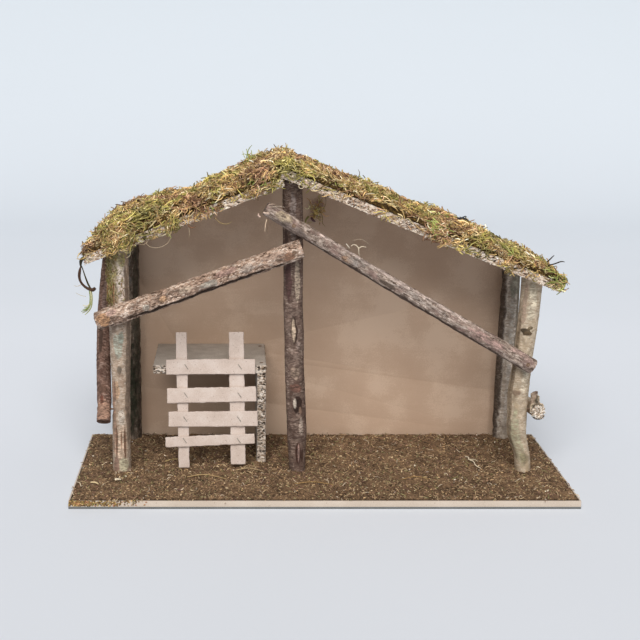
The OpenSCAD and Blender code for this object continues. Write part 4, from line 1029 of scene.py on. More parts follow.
def sample(points, corners, count, rng, chance=None):
    """Random spots on a surface with the outward directions there, thinned by a chance function."""
    tri = points[corners]
    cross = np.cross(tri[:, 1] - tri[:, 0], tri[:, 2] - tri[:, 0])
    area = np.linalg.norm(cross, axis=1)
    outward = cross / np.maximum(area, 1e-15)[:, None]
    weight = area if chance is None else area * chance(tri.mean(1), outward)
    chosen = rng.choice(len(tri), size=count, p=weight / weight.sum())
    a, b = rng.random((2, count))
    over = a + b > 1
    a, b = np.where(over, 1 - a, a), np.where(over, 1 - b, b)
    spots = tri[chosen, 0] + (tri[chosen, 1] - tri[chosen, 0]) * a[:, None] \
        + (tri[chosen, 2] - tri[chosen, 0]) * b[:, None]
    return spots, unit(cross[chosen])


def palette(hexes, chances, count, rng, spread=0.16):
    """A tint for each copy: one of the colours, a little lighter or darker."""
    table = np.array([linear(h) for h in hexes])
    chances = np.asarray(chances, dtype=float)
    pick = rng.choice(len(table), size=count, p=chances / chances.sum())
    shade = table[pick] * np.exp(rng.normal(0, spread, (count, 1)))
    shade[:, 3] = 1
    return np.clip(shade, 0, 1)


def spans(rng, count, *ranges):
    """For each copy, one random number from each of these ranges."""
    return np.stack([rng.uniform(low, high, count) for low, high in ranges], 1)

# %% Small shapes: granules and flat chips
def granule(seed):
    """A rough crumb of bark mould, one unit across, from a ball of twenty faces."""
    deselect()
    bpy.ops.mesh.primitive_ico_sphere_add(subdivisions=1, radius=0.5)
    points, corners = take_arrays(bpy.context.object)
    rng = np.random.default_rng(seed)
    return points * rng.uniform(0.75, 1.25, (len(points), 1)) * (1, 0.7, 0.5), corners


def flat_chip(seed):
    """A flat chip of wood with six uneven corners and a smaller top, one unit long."""
    deselect()
    bpy.ops.mesh.primitive_cylinder_add(vertices=6, radius=0.5, depth=0.3)
    piece = bpy.context.object
    bpy.ops.object.mode_set(mode="EDIT")
    bpy.ops.mesh.select_mode(type="FACE")
    bpy.ops.mesh.select_all(action="DESELECT")
    bpy.ops.object.mode_set(mode="OBJECT")
    for face in piece.data.polygons:
        face.select = face.normal.z > 0.9
    bpy.ops.object.mode_set(mode="EDIT")
    bpy.ops.transform.resize(value=(0.75, 0.75, 1))
    bpy.ops.mesh.select_mode(type="VERT")
    bpy.ops.object.mode_set(mode="OBJECT")
    points, corners = take_arrays(piece)
    rng = np.random.default_rng(seed)
    turn = np.arctan2(points[:, 1], points[:, 0])
    wave = 1 + 0.25 * np.sin(turn * 2 + rng.uniform(0, 6)) + 0.2 * np.sin(turn * 3 + rng.uniform(0, 6))
    return points * wave[:, None] * (1, 0.6, 1), corners


granules = [granule(seed) for seed in range(5)]
flat_chips = [flat_chip(seed) for seed in range(4)]
print("granule", len(granules[0][1]), "and chip", len(flat_chips[0][1]), "triangles")

# %% [markdown]
# ## Tinted material for the small shapes
# All small things share one build of material: the tint of the copy, varied by a fine noise so that
# no copy is one flat colour. Dry plant matter is dull, so it is rough and has little gloss.

# %% Tinted plant matter
def tinted(name, roughness, depth, fine=0.8):
    """Plant matter in the tint of each copy, mottled at a size in millimetres."""
    material, tree, shader = new_material(name, roughness, 0.25)
    tint = add(tree, "Attribute", attribute_name="tint").outputs["Color"]
    place = add(tree, "TexCoord").outputs["Object"]
    mottle = add(tree, "TexNoise", {"Vector": place, "Scale": per(fine), "Detail": 3.0})
    level = add(tree, "MapRange", {"Value": mottle.outputs["Fac"], "From Min": 0.3, "From Max": 0.7,
                                   "To Min": 0.6, "To Max": 1.3})
    shade = add(tree, "VectorMath", {0: tint, 1: level.outputs["Result"]}, operation="MULTIPLY")
    tree.links.new(shade.outputs["Vector"], shader.inputs["Base Color"])
    bump = add(tree, "Bump", {"Height": mottle.outputs["Fac"], "Strength": 0.5, "Distance": depth * MM})
    tree.links.new(bump.outputs["Normal"], shader.inputs["Normal"])
    return material


mould = tinted("dry bark mould", 0.9, 0.3)
chip_wood = tinted("loose wood chips", 0.85, 0.3, 1.2)
moss_leaf = tinted("dry moss strands", 0.75, 0.2, 1.0)
print("three tinted materials")

# %% [markdown]
# ## The ground
# The base is strewn with brown bark mould, glued down. It covers the board almost to its edges, in a
# layer of about two millimetres, uneven and thin along the rim. A grid gives the even sheet. Noise
# moves it up and down, its rim falls to the board along a wavy line, and its underside is closed.
# Then thousands of loose crumbs, a few chips and short fibres lie on it, most of them brown, some
# tan, olive or nearly white.

# %% Ground sheet
low, high = (np.array(p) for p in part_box("ground_cover"))
columns, rows = 400, 172
deselect()
bpy.ops.mesh.primitive_grid_add(x_subdivisions=columns, y_subdivisions=rows, size=1)
ground = bpy.context.object
ground.name = "bark_mould_sheet"
flat = mesh_arrays(ground.data)[0]
spread = low + (high - low) * (flat + (0.5, 0.5, 0))
inside = np.minimum(np.minimum(spread[:, 0] - low[0], high[0] - spread[:, 0]),
                    np.minimum(spread[:, 1] - low[1], high[1] - spread[:, 1])) / MM
wavy = 1.6 + 1.5 * lumps(spread, 9, 3)
cover = np.clip((inside - wavy * 0.5) / 2.2, 0, 1)
grit = 1.6 + 0.8 * lumps(spread, 13, 5) + 0.75 * lumps(spread, 3.4, 6) + 0.5 * lumps(spread, 1.9, 7)
spread[:, 2] = low[2] + np.where(inside < 0.01, 0, 0.05 + cover * np.clip(grit, 0.35, 4)) * MM
ground.data.vertices.foreach_set("co", spread.ravel())
keep_values(ground, "relief", (spread[:, 2] - low[2]) / MM - 1.6)
only(ground)
bpy.ops.object.mode_set(mode="EDIT")
bpy.ops.mesh.select_all(action="DESELECT")
bpy.ops.mesh.select_non_manifold(extend=False, use_wire=False, use_multi_face=False,
                                 use_non_contiguous=False, use_verts=False)
bpy.ops.mesh.edge_face_add()
bpy.ops.mesh.select_all(action="SELECT")
bpy.ops.mesh.normals_make_consistent(inside=False)
bpy.ops.object.mode_set(mode="OBJECT")
bpy.ops.object.shade_smooth()

soil, tree, shader = new_material("glued bark mould", 0.92, 0.15)
place = add(tree, "TexCoord").outputs["Object"]
relief = add(tree, "Attribute", attribute_name="relief").outputs["Fac"]
grain = add(tree, "TexNoise", {"Vector": place, "Scale": per(2.2), "Detail": 5.0, "Roughness": 0.7})
tilt = add(tree, "Math", {0: relief, 1: 0.1, 2: grain.outputs["Fac"]}, operation="MULTIPLY_ADD")
tone = add(tree, "ValToRGB", {"Fac": tilt.outputs["Value"]},
           [(0.3, "33281e"), (0.46, "5e4b39"), (0.6, "816850"), (0.78, "aa8e6c")])
tree.links.new(tone.outputs["Color"], shader.inputs["Base Color"])
bump = add(tree, "Bump", {"Height": grain.outputs["Fac"], "Strength": 0.9, "Distance": 0.8 * MM})
tree.links.new(bump.outputs["Normal"], shader.inputs["Normal"])
settle(ground, "ground_cover", [soil])
print("ground sheet of", len(ground.data.polygons), "faces")

# %% Loose crumbs, chips and fibres
def near_front(spot, way):
    """Loose bits lie on faces that look up, and a little more thickly towards the front."""
    return (way[:, 2] > 0.2) * (1.6 - 4 * np.clip(spot[:, 1] + 0.02, 0, 0.1))

STRETCHED = (1.35, 0.8, 0.85)
rng = np.random.default_rng(21)
top_points, top_corners = mesh_arrays(ground.data)
crumb_count = 9300
spots, ways = sample(top_points, top_corners, crumb_count, rng, near_front)
headings = rng.normal(0, 1, (crumb_count, 3))
crumb_tints = palette(("46372b", "6b5645", "927760", "b89b76", "928a68", "d6c09c", "7a5a4f", "eee2ce"),
                      (18, 24, 25, 17, 10, 5, 6, 0.8), crumb_count, rng, 0.24)
crumb_sizes = rng.uniform(1.5, 4.0, (crumb_count, 1)) * rng.uniform(0.55, 1.1, (crumb_count, 3))
crumb_sizes *= STRETCHED
crumb_frames = lying(unit(ways + rng.normal(0, 0.4, ways.shape)), headings)
crumbs = scatter("bark_crumbs", granules, spots, crumb_frames, crumb_sizes, crumb_tints, rng)
settle(crumbs, None, [mould])

# %% [markdown]
# ## The moss on the roof
# The roof is thatched with dry forest moss, glued on in clumps. Seen close, it is a tangle: thin
# curled stems that lie in swirls, feathery sprigs with tiny leaves, and dark holes between the
# clumps. The frame gives the mat as a smooth cushion. A remesh and noise make it lumpy and dark, so
# that it reads as the shade inside the moss. Towards the back it is a few millimetres thinner where
# the picture's roof line is lower, and at the eaves its upper edge is pulled in. The strands and
# sprigs that cover it give the real outline. Their tints change from clump to clump: mostly straw
# gold and olive, some brown, with a few fresh green patches.
# The strands are also painted lighter on the lumps of the mat and darker in its hollows: painted light and
# shade.

# %% The dark body of the moss
# The upward direction of each slope.
ROOF = {"left": np.array((-0.368, 0, 0.930)), "right": np.array((0.379, 0, 0.925))}
# Places along x in millimetres, and by how many millimetres the mat is thinner there. It is thinned
# more and more from the middle of the roof, and fully from FULL_FROM millimetres back.
THINNER = {"left": ((-179, -161, -138, -114, -96, -83), (0, 3.5, 4, 5, 4, 0)),
           "right": ((-20, -5, 16, 34, 54, 82, 100, 130, 139, 150, 162, 189, 203, 221, 240, 257, 264),
                     (0.5, 3.5, 5.5, 5, 0.5, 0.5, 4, 2.5, 1, 4, 0.5, 0, 5, 6, 5, 2, 0))}
FULL_FROM = 60
EAVE_RUN = 13

moss_shade, tree, shader = new_material("shade inside the moss", 0.95, 0.1)
place = add(tree, "TexCoord").outputs["Object"]
grain = add(tree, "TexNoise", {"Vector": place, "Scale": per(3), "Detail": 4.0, "Roughness": 0.7})
tone = add(tree, "ValToRGB", {"Fac": grain.outputs["Fac"]},
           [(0.35, "1f170e"), (0.52, "46351d"), (0.68, "6e5a2c")])
tree.links.new(tone.outputs["Color"], shader.inputs["Base Color"])
bump = add(tree, "Bump", {"Height": grain.outputs["Fac"], "Strength": 1.0, "Distance": 1.0 * MM})
tree.links.new(bump.outputs["Normal"], shader.inputs["Normal"])


def moss_body(side):
    """The lumpy dark mat of one slope, thinner towards the back. Its underside stays on the board."""
    piece = remeshed(side + "_roof_moss", side + "_moss_body", 3.0)
    points = mesh_arrays(piece.data)[0]
    above = np.clip(point_normals(piece) @ ROOF[side] + 0.5, 0, 1)
    rise = 2.8 * lumps(points, 19, 71) + 2.6 * lumps(points, 9, 72) + 1.2 * lumps(points, 4, 73) - 2.6
    push(piece, above * rise)
    placed = mesh_arrays(piece.data)[0]
    over = (placed @ ROOF[side] - (points @ ROOF[side]).min()) / MM - 3
    thin = np.interp(placed[:, 0] / MM, *THINNER[side]) * np.clip(placed[:, 1] / MM / FULL_FROM, 0, 1)
    placed -= (above * np.clip(thin, 0, np.maximum(over - 4, 0)))[:, None] * ROOF[side] * MM
    eave, inward = (points[:, 0].min(), 1) if side == "left" else (points[:, 0].max(), -1)
    near_eave = np.clip(EAVE_RUN - np.abs(placed[:, 0] - eave) / MM, 0, EAVE_RUN)
    placed[:, 0] += inward * near_eave * np.clip(over / 14, 0, 0.6) * MM
    piece.data.vertices.foreach_set("co", placed.ravel())
    only(piece)
    bpy.ops.object.shade_smooth()
    return settle(piece, side + "_roof_moss", [moss_shade])


bodies = {side: moss_body(side) for side in ROOF}
boards = {"left": left_board, "right": right_board}
print("two moss bodies of", [len(b.data.polygons) for b in bodies.values()], "faces")

# %% Small shapes: curled strands and leafy sprigs
def rod(cuts, radius):
    """A three-sided rod of unit length along x, with this many cuts across it."""
    deselect()
    bpy.ops.mesh.primitive_cylinder_add(vertices=3, radius=radius, depth=1, rotation=(0, math.pi / 2, 0))
    piece = bpy.context.object
    bpy.ops.object.transform_apply(location=False, rotation=True, scale=False)
    points = mesh_arrays(piece.data)[0]
    bpy.ops.object.mode_set(mode="EDIT")
    bpy.ops.mesh.select_mode(type="EDGE")
    bpy.ops.mesh.select_all(action="DESELECT")
    bpy.ops.object.mode_set(mode="OBJECT")
    for edge in piece.data.edges:
        a, b = edge.vertices
        edge.select = bool(abs(points[a, 0] - points[b, 0]) > 0.5)
    bpy.ops.object.mode_set(mode="EDIT")
    bpy.ops.mesh.subdivide(number_cuts=cuts)
    bpy.ops.mesh.select_all(action="SELECT")
    bpy.ops.mesh.quads_convert_to_tris()
    bpy.ops.object.mode_set(mode="OBJECT")
    return take_arrays(piece)


def bent(points, length, curl, twist, droop=0.0):
    """Bends a unit rod into a curl in millimetres: it turns sideways and rises, and thins to its tip."""
    share = points[:, 0] + 0.5
    steps = np.linspace(0, 1, 25)
    turn = curl * (steps - 0.5) + twist * np.sin(steps * 5)
    rise = 0.5 * np.sin(steps * 4 + twist * 3) - droop * steps
    way = np.stack([np.cos(turn) * np.cos(rise), np.sin(turn) * np.cos(rise), np.sin(rise)], 1)
    path = np.cumsum(way, 0) * length / 25
    path -= path.mean(0)
    centre = np.stack([np.interp(share, steps, path[:, k]) for k in range(3)], 1)
    sideways = np.interp(share, steps, turn)
    thin = (1 - 0.55 * np.abs(share - 0.4))[:, None]
    across = np.stack([-np.sin(sideways) * points[:, 1], np.cos(sideways) * points[:, 1], points[:, 2]], 1)
    return centre + across * thin


def strand(seed):
    """A curled stem, twelve to twenty-four millimetres long."""
    rng = np.random.default_rng(seed)
    points, corners = rod(4, 0.74)
    return bent(points, rng.uniform(12, 24), rng.uniform(-3.2, 3.2), rng.uniform(-0.9, 0.9)), corners


def sprig(seed):
    """A short stem with seven tiny leaves that point forwards on both sides."""
    rng = np.random.default_rng(seed)
    points, corners = rod(2, 0.42)
    curl, twist = rng.uniform(-1.4, 1.4), rng.uniform(-0.4, 0.4)
    stem = bent(points, 9, curl, twist, -0.5)
    deselect()
    bpy.ops.mesh.primitive_cone_add(vertices=3, radius1=0.75, depth=3.2)
    leaf, faces = take_arrays(bpy.context.object)
    leaf = leaf[:, [2, 0, 1]] + (1.6, 0, 0)
    leaf[:, 2] *= 0.5
    all_points, all_corners = [stem], [corners]
    for k in range(7):
        share = (k + 1.5) / 8.5
        root = stem[np.argsort(np.abs(points[:, 0] + 0.5 - share))[:3]].mean(0)
        turn = (0.9 if k % 2 else -0.9) + rng.uniform(-0.3, 0.3) + curl * (share - 0.5)
        lift = rng.uniform(-0.1, 0.6)
        spin = np.array([[math.cos(turn), math.sin(turn), 0],
                         [-math.sin(turn), math.cos(turn), 0], [0, 0, 1]])
        tip = np.array([[math.cos(lift), 0, math.sin(lift)],
                        [0, 1, 0], [-math.sin(lift), 0, math.cos(lift)]])
        all_points.append(leaf @ tip @ spin * rng.uniform(0.7, 1.1) + root)
        all_corners.append(faces + len(stem) + k * len(leaf))
    return np.concatenate(all_points), np.concatenate(all_corners)


strands = [strand(seed) for seed in range(9)]
sprigs = [sprig(seed) for seed in range(20, 26)]
print("strand", len(strands[0][1]), "and sprig", len(sprigs[0][1]), "triangles")

# %% [markdown]
# ## Laying the moss
# Strands are laid on the outer faces of the mat, in swirls that turn from patch to patch, and a few
# stand up. Few are laid where a noise of a centimetre says hole, so the dark body shows there. The
# front gets more, but its lowest strip stays almost bare, so that the board's sawn edge is seen,
# except in the stretches where the moss spills over it.

# %% Strands and sprigs
# Stretches of the front edges where the moss spills over: from and to along x, and how thickly.
SPILLS = {"left": [(-238, -206, 0.8), (-206, -176, 0.12), (-171, -158, 1.5), (-140, -112, 0.3),
                   (-84, -50, 0.25)],
          "right": [(-50, -20, 0.05), (114, 132, 1.1), (142, 152, 0.5), (196, 206, 0.35), (246, 264, 0.3)]}
# Places of fresh green moss in millimetres, and their size.
FRESH = {"left": [((-211, 120, 292), 20), ((-193, 100, 301), 14), ((-192, 23, 301), 10),
                  ((-255, 27, 277), 11), ((-170, -50, 282), 8), ((-150, -49, 292), 6),
                  ((-122, -46, 318), 10), ((-84, 67, 344), 13), ((-70, -46, 342), 12)],
         "right": [((131, 15, 296), 16), ((170, 90, 279), 14), ((123, -44, 296), 14),
                   ((249, -4, 248), 14), ((253, -46, 240), 17), ((59, 110, 325), 13),
                   ((10, -40, 340), 12), ((183, 27, 275), 12), ((205, -40, 262), 8)]}
# Tints of dry moss, each with its share.
GOLD = (("bb9d6b", "a68d5f", "d2bf94", "866b47", "e2d6b8"), (30, 27, 18, 19, 6))
OLIVE = (("9c9254", "b2a764", "7d7543", "cbc087", "5e5733"), (28, 26, 18, 14, 14))
BROWN = (("98765b", "ad8b6e", "76563f", "c5a88a", "5a4132"), (26, 24, 22, 14, 14))
GREEN = (("96a05a", "adb46a", "7c8646", "c8cd90", "a0995e"), (30, 22, 20, 12, 16))


def moss_tints(spots, rng, green_spots):
    """Tints for moss at these places, by clumps, with fresh green at the given places.
    They are painted lighter on the lumps of the mat and darker in its hollows, as light and shade.
    """
    clump = 1.1 * lumps(spots, 26, 81) + 0.5 * lumps(spots, 11, 82) + rng.normal(0, 0.3, len(spots))
    clump -= 0.25 * ((spots[:, 0] > 0.05) & (spots[:, 0] < 0.23))
    group = np.digitize(clump, (-0.28, 0.48, 2.0))
    for at, size in green_spots:
        far = np.linalg.norm(spots - np.array(at) * MM, axis=1) / MM
        group[far < size * rng.uniform(0.2, 1.0, len(spots))] = 3
    tints = np.zeros((len(spots), 4))
    for k, (hexes, chances) in enumerate((OLIVE, GOLD, BROWN, GREEN)):
        mine = group == k
        tints[mine] = palette(hexes, chances, mine.sum(), rng, 0.24)
    # Painted light and shade: the same lumps as the dark body's, so strands are lighter on its humps and
    # darker in its hollows.
    tints[:, :3] *= np.exp(0.14 + 0.5 * lumps(spots, 9, 72) + 0.3 * lumps(spots, 19, 71))[:, None]
    return tints


def lay_moss(name, side, shapes, count, seed, stand, lift, size):
    """Copies of moss shapes over one slope."""
    rng = np.random.default_rng(seed)
    points, corners = mesh_arrays(bodies[side].data)
    up = ROOF[side]
    board_top = (mesh_arrays(boards[side].data)[0] @ up).max()

    def wanted(spot, way):
        holes = lumps(spot, 10, 83) + 0.5 * lumps(spot, 5, 84) > -0.55
        front = 1 + 1.3 * (spot[:, 1] < -0.044)
        low = (spot[:, 1] < -0.044) & (spot @ up < board_top + 5.5 * MM)
        for start, stop, amount in SPILLS[side]:
            low &= (amount < 0.8) | (spot[:, 0] < start * MM) | (spot[:, 0] > stop * MM)
        return (way @ up > -0.25) * (0.06 + holes) * front * (1 - 0.95 * low)

    spots, ways = sample(points, corners, count, rng, wanted)
    slope = np.array((up[2], 0, -up[0]))
    swirl = (2.4 * lumps(spots, 18, 85) + 1.1 * lumps(spots, 7, 86))[:, None]
    headings = slope * np.cos(swirl) + np.array((0, 1, 0)) * np.sin(swirl) + rng.normal(0, 0.22, (count, 3))
    frames = lying(unit(ways + rng.normal(0, stand, ways.shape)), headings)
    spots = spots + ways * rng.uniform(*lift, (count, 1)) * MM
    sizes = rng.uniform(*size, (count, 1))
    piece = scatter(name, shapes, spots, frames, sizes, moss_tints(spots, rng, FRESH[side]), rng)
    return settle(piece, None, [moss_leaf])


for side, stand_count, leaf_count, parts in (("left", 6000, 2300, 1), ("right", 4700, 2900, 2)):
    for k in range(parts):
        lay_moss("%s_moss_strands_%d" % (side, k + 1), side, strands, stand_count, 91 + k, 0.22,
                 (-0.7, 1.8), (0.65, 1.2))
    lay_moss(side + "_moss_sprigs", side, sprigs, leaf_count, 95, 0.45, (-0.4, 1.8), (0.5, 0.95))

# %% [markdown]
# ## Chips on the sawn edges of the roof
# The front edges of the roof boards face the viewer. Each is ten millimetres of coarse chips: cream
# and nearly white ones stand a little out, and brown gaps lie between them. Flat chips of a few
# millimetres are laid on the edge faces only, sunk to half their thickness.

# %% Edge chips
def edge_chips(board, name, count, seed):
    """Loose-edged chips on the sawn edges of a roof board."""
    rng = np.random.default_rng(seed)
    points, corners = mesh_arrays(board.data)
    spots, ways = sample(points, corners, count, rng, lambda spot, way: np.abs(way[:, 2]) < 0.7)
    long_way = np.cross(ways, (0, 0, 1.0))
    headings = unit(long_way) + rng.normal(0, 0.35, (count, 3))
    frames = lying(unit(ways + rng.normal(0, 0.3, ways.shape)), headings)
    spots = spots + ways * rng.uniform(-0.5, 0.35, (count, 1)) * MM
    sizes = spans(rng, count, (2.0, 5.2), (1.6, 3.0), (2, 5))
    tints = palette(("e9dccf", "d6c3b4", "f3eae1", "b9a18f", "8a6f5c", "43342a"), (24, 24, 12, 16, 13, 11),
                    count, rng, 0.12)
    piece = scatter(name, flat_chips, spots, frames, sizes, tints, rng)
    return settle(piece, None, [chip_wood])


def eave_lip():
    """Crumbling chips at the left eave, where the board's lower edge has broken out."""
    rng = np.random.default_rng(43)
    count = 340
    share, drop = rng.uniform(0, 1, count), rng.uniform(0, 1, count)
    x = -260.0 + 3.6 * drop - 4.6 * share * drop
    z = 263.0 - 8.6 * drop - 1.6 * share * drop
    spots = np.column_stack([x, rng.uniform(-49.5, 123, count), z]) * MM
    outward = unit(np.array((-0.6, -0.3, 0.2)) + rng.normal(0, 0.5, (count, 3)))
    frames = lying(outward, rng.normal(0, 1, (count, 3)))
    sizes = spans(rng, count, (1.8, 3.6), (1.6, 3), (3, 7))
    tints = palette(("efe4d8", "dccbbd", "f5eee6", "b9a18f", "5c493c"), (26, 24, 20, 16, 14),
                    count, rng, 0.12)
    return settle(scatter("left_eave_lip", flat_chips, spots, frames, sizes, tints, rng), None,
                  [chip_wood])


eave_lip()
edge_chips(left_board, "left_edge_chips", 1500, 41)
edge_chips(right_board, "right_edge_chips", 2000, 42)


# %% [markdown]
# ## Moss that hangs over the edges
# In places the moss spills over the front edge of a board: at the left eave as a matted fringe, next
# to it as one bright green tuft, and halfway down the right board as a clump. Strands are laid on
# the edge faces, densely in the stretches given before and thinly between them.

# %% Fringes on the front edges
def fringe(side, board, count, seed):
    """Strands over the front edge of one roof board, in the stretches where the moss spills."""
    rng = np.random.default_rng(seed)

    def spill(spot, way):
        along = spot[:, 0] / MM
        share = sum(((along > a) & (along < b)) * amount for a, b, amount in SPILLS[side]) + 0.05
        return share * (way[:, 1] < -0.7)

    cut = board.copy()
    cut.data = board.data.copy()
    bpy.context.scene.collection.objects.link(cut)
    only(cut)
    bpy.ops.object.mode_set(mode="EDIT")
    bpy.ops.mesh.select_all(action="SELECT")
    bpy.ops.mesh.subdivide(number_cuts=60)
    bpy.ops.object.mode_set(mode="OBJECT")
    points, corners = take_arrays(cut)
    spots, ways = sample(points, corners, count, rng, spill)
    out = ways * rng.uniform(0.2, 2.2, (count, 1))
    spots = spots + (out + (0, 0, 1) * rng.uniform(-1, 5, (count, 1))) * MM
    headings = rng.normal(0, 0.8, (count, 3)) + np.array((ROOF[side][2], 0, -ROOF[side][0]))
    frames = lying(unit(ways + rng.normal(0, 0.35, ways.shape)), headings)
    tints = moss_tints(spots, rng, FRESH[side])
    piece = scatter(side + "_moss_fringe", strands + sprigs[:2], spots, frames,
                    rng.uniform(0.5, 1.0, (count, 1)), tints, rng)
    return settle(piece, None, [moss_leaf])


fringe("left", left_board, 620, 51)
fringe("right", right_board, 560, 52)

# %% [markdown]
# ## Single fibres
# A few fibres stand alone, and the eye finds them first: loops under the left edge, a forked curl
# on the right brace, a straw on the ground, dark twigs at the eaves. Each is drawn as a smooth curve
# through a few points with its own thickness there, turned into a mesh, and joined with the others
# of its group.

# %% Draw a fibre
def fibre(points, widths, hexa):
    """A tapering round fibre through points in millimetres, as a mesh with its tint."""
    path = np.column_stack([np.array(points, dtype=float), np.array(widths, dtype=float)])
    for _ in range(3):
        cut = np.empty((2 * len(path), 4))
        cut[0], cut[-1] = path[0], path[-1]
        cut[1:-1:2] = path[:-1] * 0.75 + path[1:] * 0.25
        cut[2:-1:2] = path[:-1] * 0.25 + path[1:] * 0.75
        path = cut
    curve = bpy.data.curves.new("fibre", "CURVE")
    curve.dimensions = "3D"
    curve.bevel_depth = 0.5 * MM
    curve.bevel_resolution = 1
    curve.use_fill_caps = True
    line = curve.splines.new("POLY")
    line.points.add(len(path) - 1)
    for knot, (x, y, z, width) in zip(line.points, path):
        knot.co = (x * MM, y * MM, z * MM, 1)
        knot.radius = width
    piece = bpy.data.objects.new("fibre", curve)
    bpy.context.scene.collection.objects.link(piece)
    only(piece)
    bpy.ops.object.convert(target="MESH")
    piece = bpy.context.object
    keep_values(piece, "tint", np.tile(linear(hexa), (len(piece.data.vertices), 1)))
    return piece


def fibres_of(table):
    """A fibre for each row of points, width and tint. Its tip is half as thick."""
    return [fibre(points, [width] * (len(points) - 1) + [width * 0.5], tint)
            for points, width, tint in table]

def joined(name, pieces, node, material):
    """Joins small pieces into one, and settles it."""
    deselect()
    for piece in pieces:
        piece.select_set(True)
    bpy.context.view_layer.objects.active = pieces[0]
    if len(pieces) > 1:
        bpy.ops.object.join()
    pieces[0].name = name
    only(pieces[0])
    bpy.ops.object.shade_smooth()
    return settle(pieces[0], node, [material])


twig_skin = tinted("dark twig skin", 0.7, 0.3, 1.4)
hanging = [
    fibre([(-258.6, -46, 263), (-263, -47.6, 259), (-264, -47.6, 255), (-263.6, -47.6, 250)],
          (1, 4.4, 3.2, 1.4), "2f2a1c"),
    fibre([(-263.6, -47.6, 252), (-265.2, -47.6, 246), (-265.8, -48, 240), (-264.6, -48, 234.5),
           (-260.6, -48, 229.5), (-256, -48, 226.5), (-251, -47.6, 225), (-248.6, -47.6, 227.6)],
          (1.4, 3.6, 3.4, 2.6, 2.8, 3.2, 4.6, 3.6), "463022"),
    fibre([(-263, -47.4, 252), (-261, -47.4, 246), (-258.6, -47.6, 238), (-256, -47.6, 231),
           (-253, -47.8, 226)], (1.2, 1.3, 1.8, 2.2, 1.6), "3f3a22"),
]
joined("hanging_twig_skin", hanging, "hanging_twig", twig_skin)

wisp = [fibre([(-254.4 + dx, -47.6 + dy, 226), (-253.2 + dx, -47.4 + dy, 217),
               (-254.4 + dx, -47.2, 209 + dz), (-258 + dx, -47 + dy, 204 + dz),
               (-263 + 2 * dx, -47 + 2 * dy, 203.5 + 2 * dz)],
              (1.3, 1.7, 1.5, 1.4, 0.7), tint)
        for dx, dy, dz, tint in ((0, 0, 0, "8f9868"), (0.9, 0.6, 1, "aeb08a"), (-0.8, -0.5, -1, "7f8c4c"),
                                 (0.3, -0.8, 2.6, "c9c3a2"), (-0.4, 0.9, -2.2, "b1b28a"),
                                 (1.2, 0, -3, "a0a375"))]
wisp += [fibre([(-264, -47, 231), (-268, -47, 229), (-272, -47, 230)], (0.6, 0.5, 0.4), "b8a98a"),
         fibre([(-259, -47, 218), (-265, -47, 219), (-270, -47, 222)], (0.5, 0.5, 0.3), "b8b090")]
joined("hanging_wisp", wisp, None, moss_leaf)

PALE, STRAW, RUST, DARK = "cfc0a4", "d8c489", "8a5a38", "33291f"
singles = [
    ([(-193, -49, 280), (-191, -51, 275), (-185, -52, 272.4), (-178, -52, 272.6), (-170, -51, 276),
      (-165.6, -50.5, 282), (-166, -49, 287)], 0.5, "b8a68c"),
    ([(-205, -50, 279), (-198, -52, 275.6), (-192, -52, 277), (-188, -51, 283)], 0.55, "b39f82"),
    ([(-214, -49, 277), (-211, -51, 273), (-209, -51, 268), (-210, -50, 263), (-214, -49, 261)],
     0.8, "c4b998"),
    ([(-222, -50, 273), (-217, -51, 268), (-211, -51, 266), (-207, -50, 270)], 0.7, "b7ab7d"),
    ([(-231, -52, 292), (-221, -53, 288), (-208, -53, 283)], 1.2, STRAW),
    ([(-236, -52, 281), (-228, -54, 279), (-222, -53, 273)], 0.8, "a88c60"),
    ([(-118, -50, 305), (-112, -52, 299), (-104, -52, 298), (-100, -51, 301)], 0.7, "a08a5e"),
    ([(-146, -50, 294), (-145, -52, 288), (-146, -52, 283)], 0.5, "b7a68a"),
    ([(-84, -42, 368), (-83, -43, 374), (-81, -43, 379), (-78, -43, 382)], 0.9, "8f9a58"),
    ([(-80, -42, 366), (-78, -43, 372), (-79, -43, 377)], 1.1, "a3a762"),
    ([(-84, -42, 366), (-87, -43, 371), (-88, -43, 376)], 0.8, "b9b878"),
    ([(-82, -41, 366), (-82, -42, 371), (-84, -42, 378)], 1.5, "a9b070"),
    ([(-79, -42, 368), (-76, -43, 371), (-74, -43, 371)], 0.9, "8f9a58"),
    ([(-83, -42, 371), (-86, -43, 373), (-89, -43, 372)], 0.8, "9ba565"),
    ([(-27, -52, 342), (-24, -53, 343), (-22, -53, 340), (-24, -53, 336.5), (-28, -53, 337),
      (-28, -52, 341)], 0.9, PALE),
    ([(243, -46, 256), (246.5, -47, 260), (250, -47, 263.5)], 1.6, DARK),
    ([(244, -45, 252), (251, -47, 254), (258, -47, 257), (262, -46, 256)], 1.5, DARK),
    ([(250, -46, 251), (254, -48, 246), (252, -48, 240)], 1.0, "6f5a2c"),
    ([(144, -44, 303), (150, -46, 304.6), (156, -46, 301)], 2.2, "2a2c33"),
    ([(146, -44, 302), (152, -46, 306.5), (154, -46, 305)], 1.2, "2a2c33"),
    ([(36, -42, 347), (38, -43, 352), (36, -43, 356)], 0.8, "6a5b45"),
    ([(62, -49, 324), (70, -51, 319), (78, -51, 317)], 0.8, STRAW),
    ([(-150, -48, 300), (-143, -51, 293), (-138, -51, 296)], 0.8, RUST),
]
joined("roof_fibres", fibres_of(singles), None, moss_leaf)

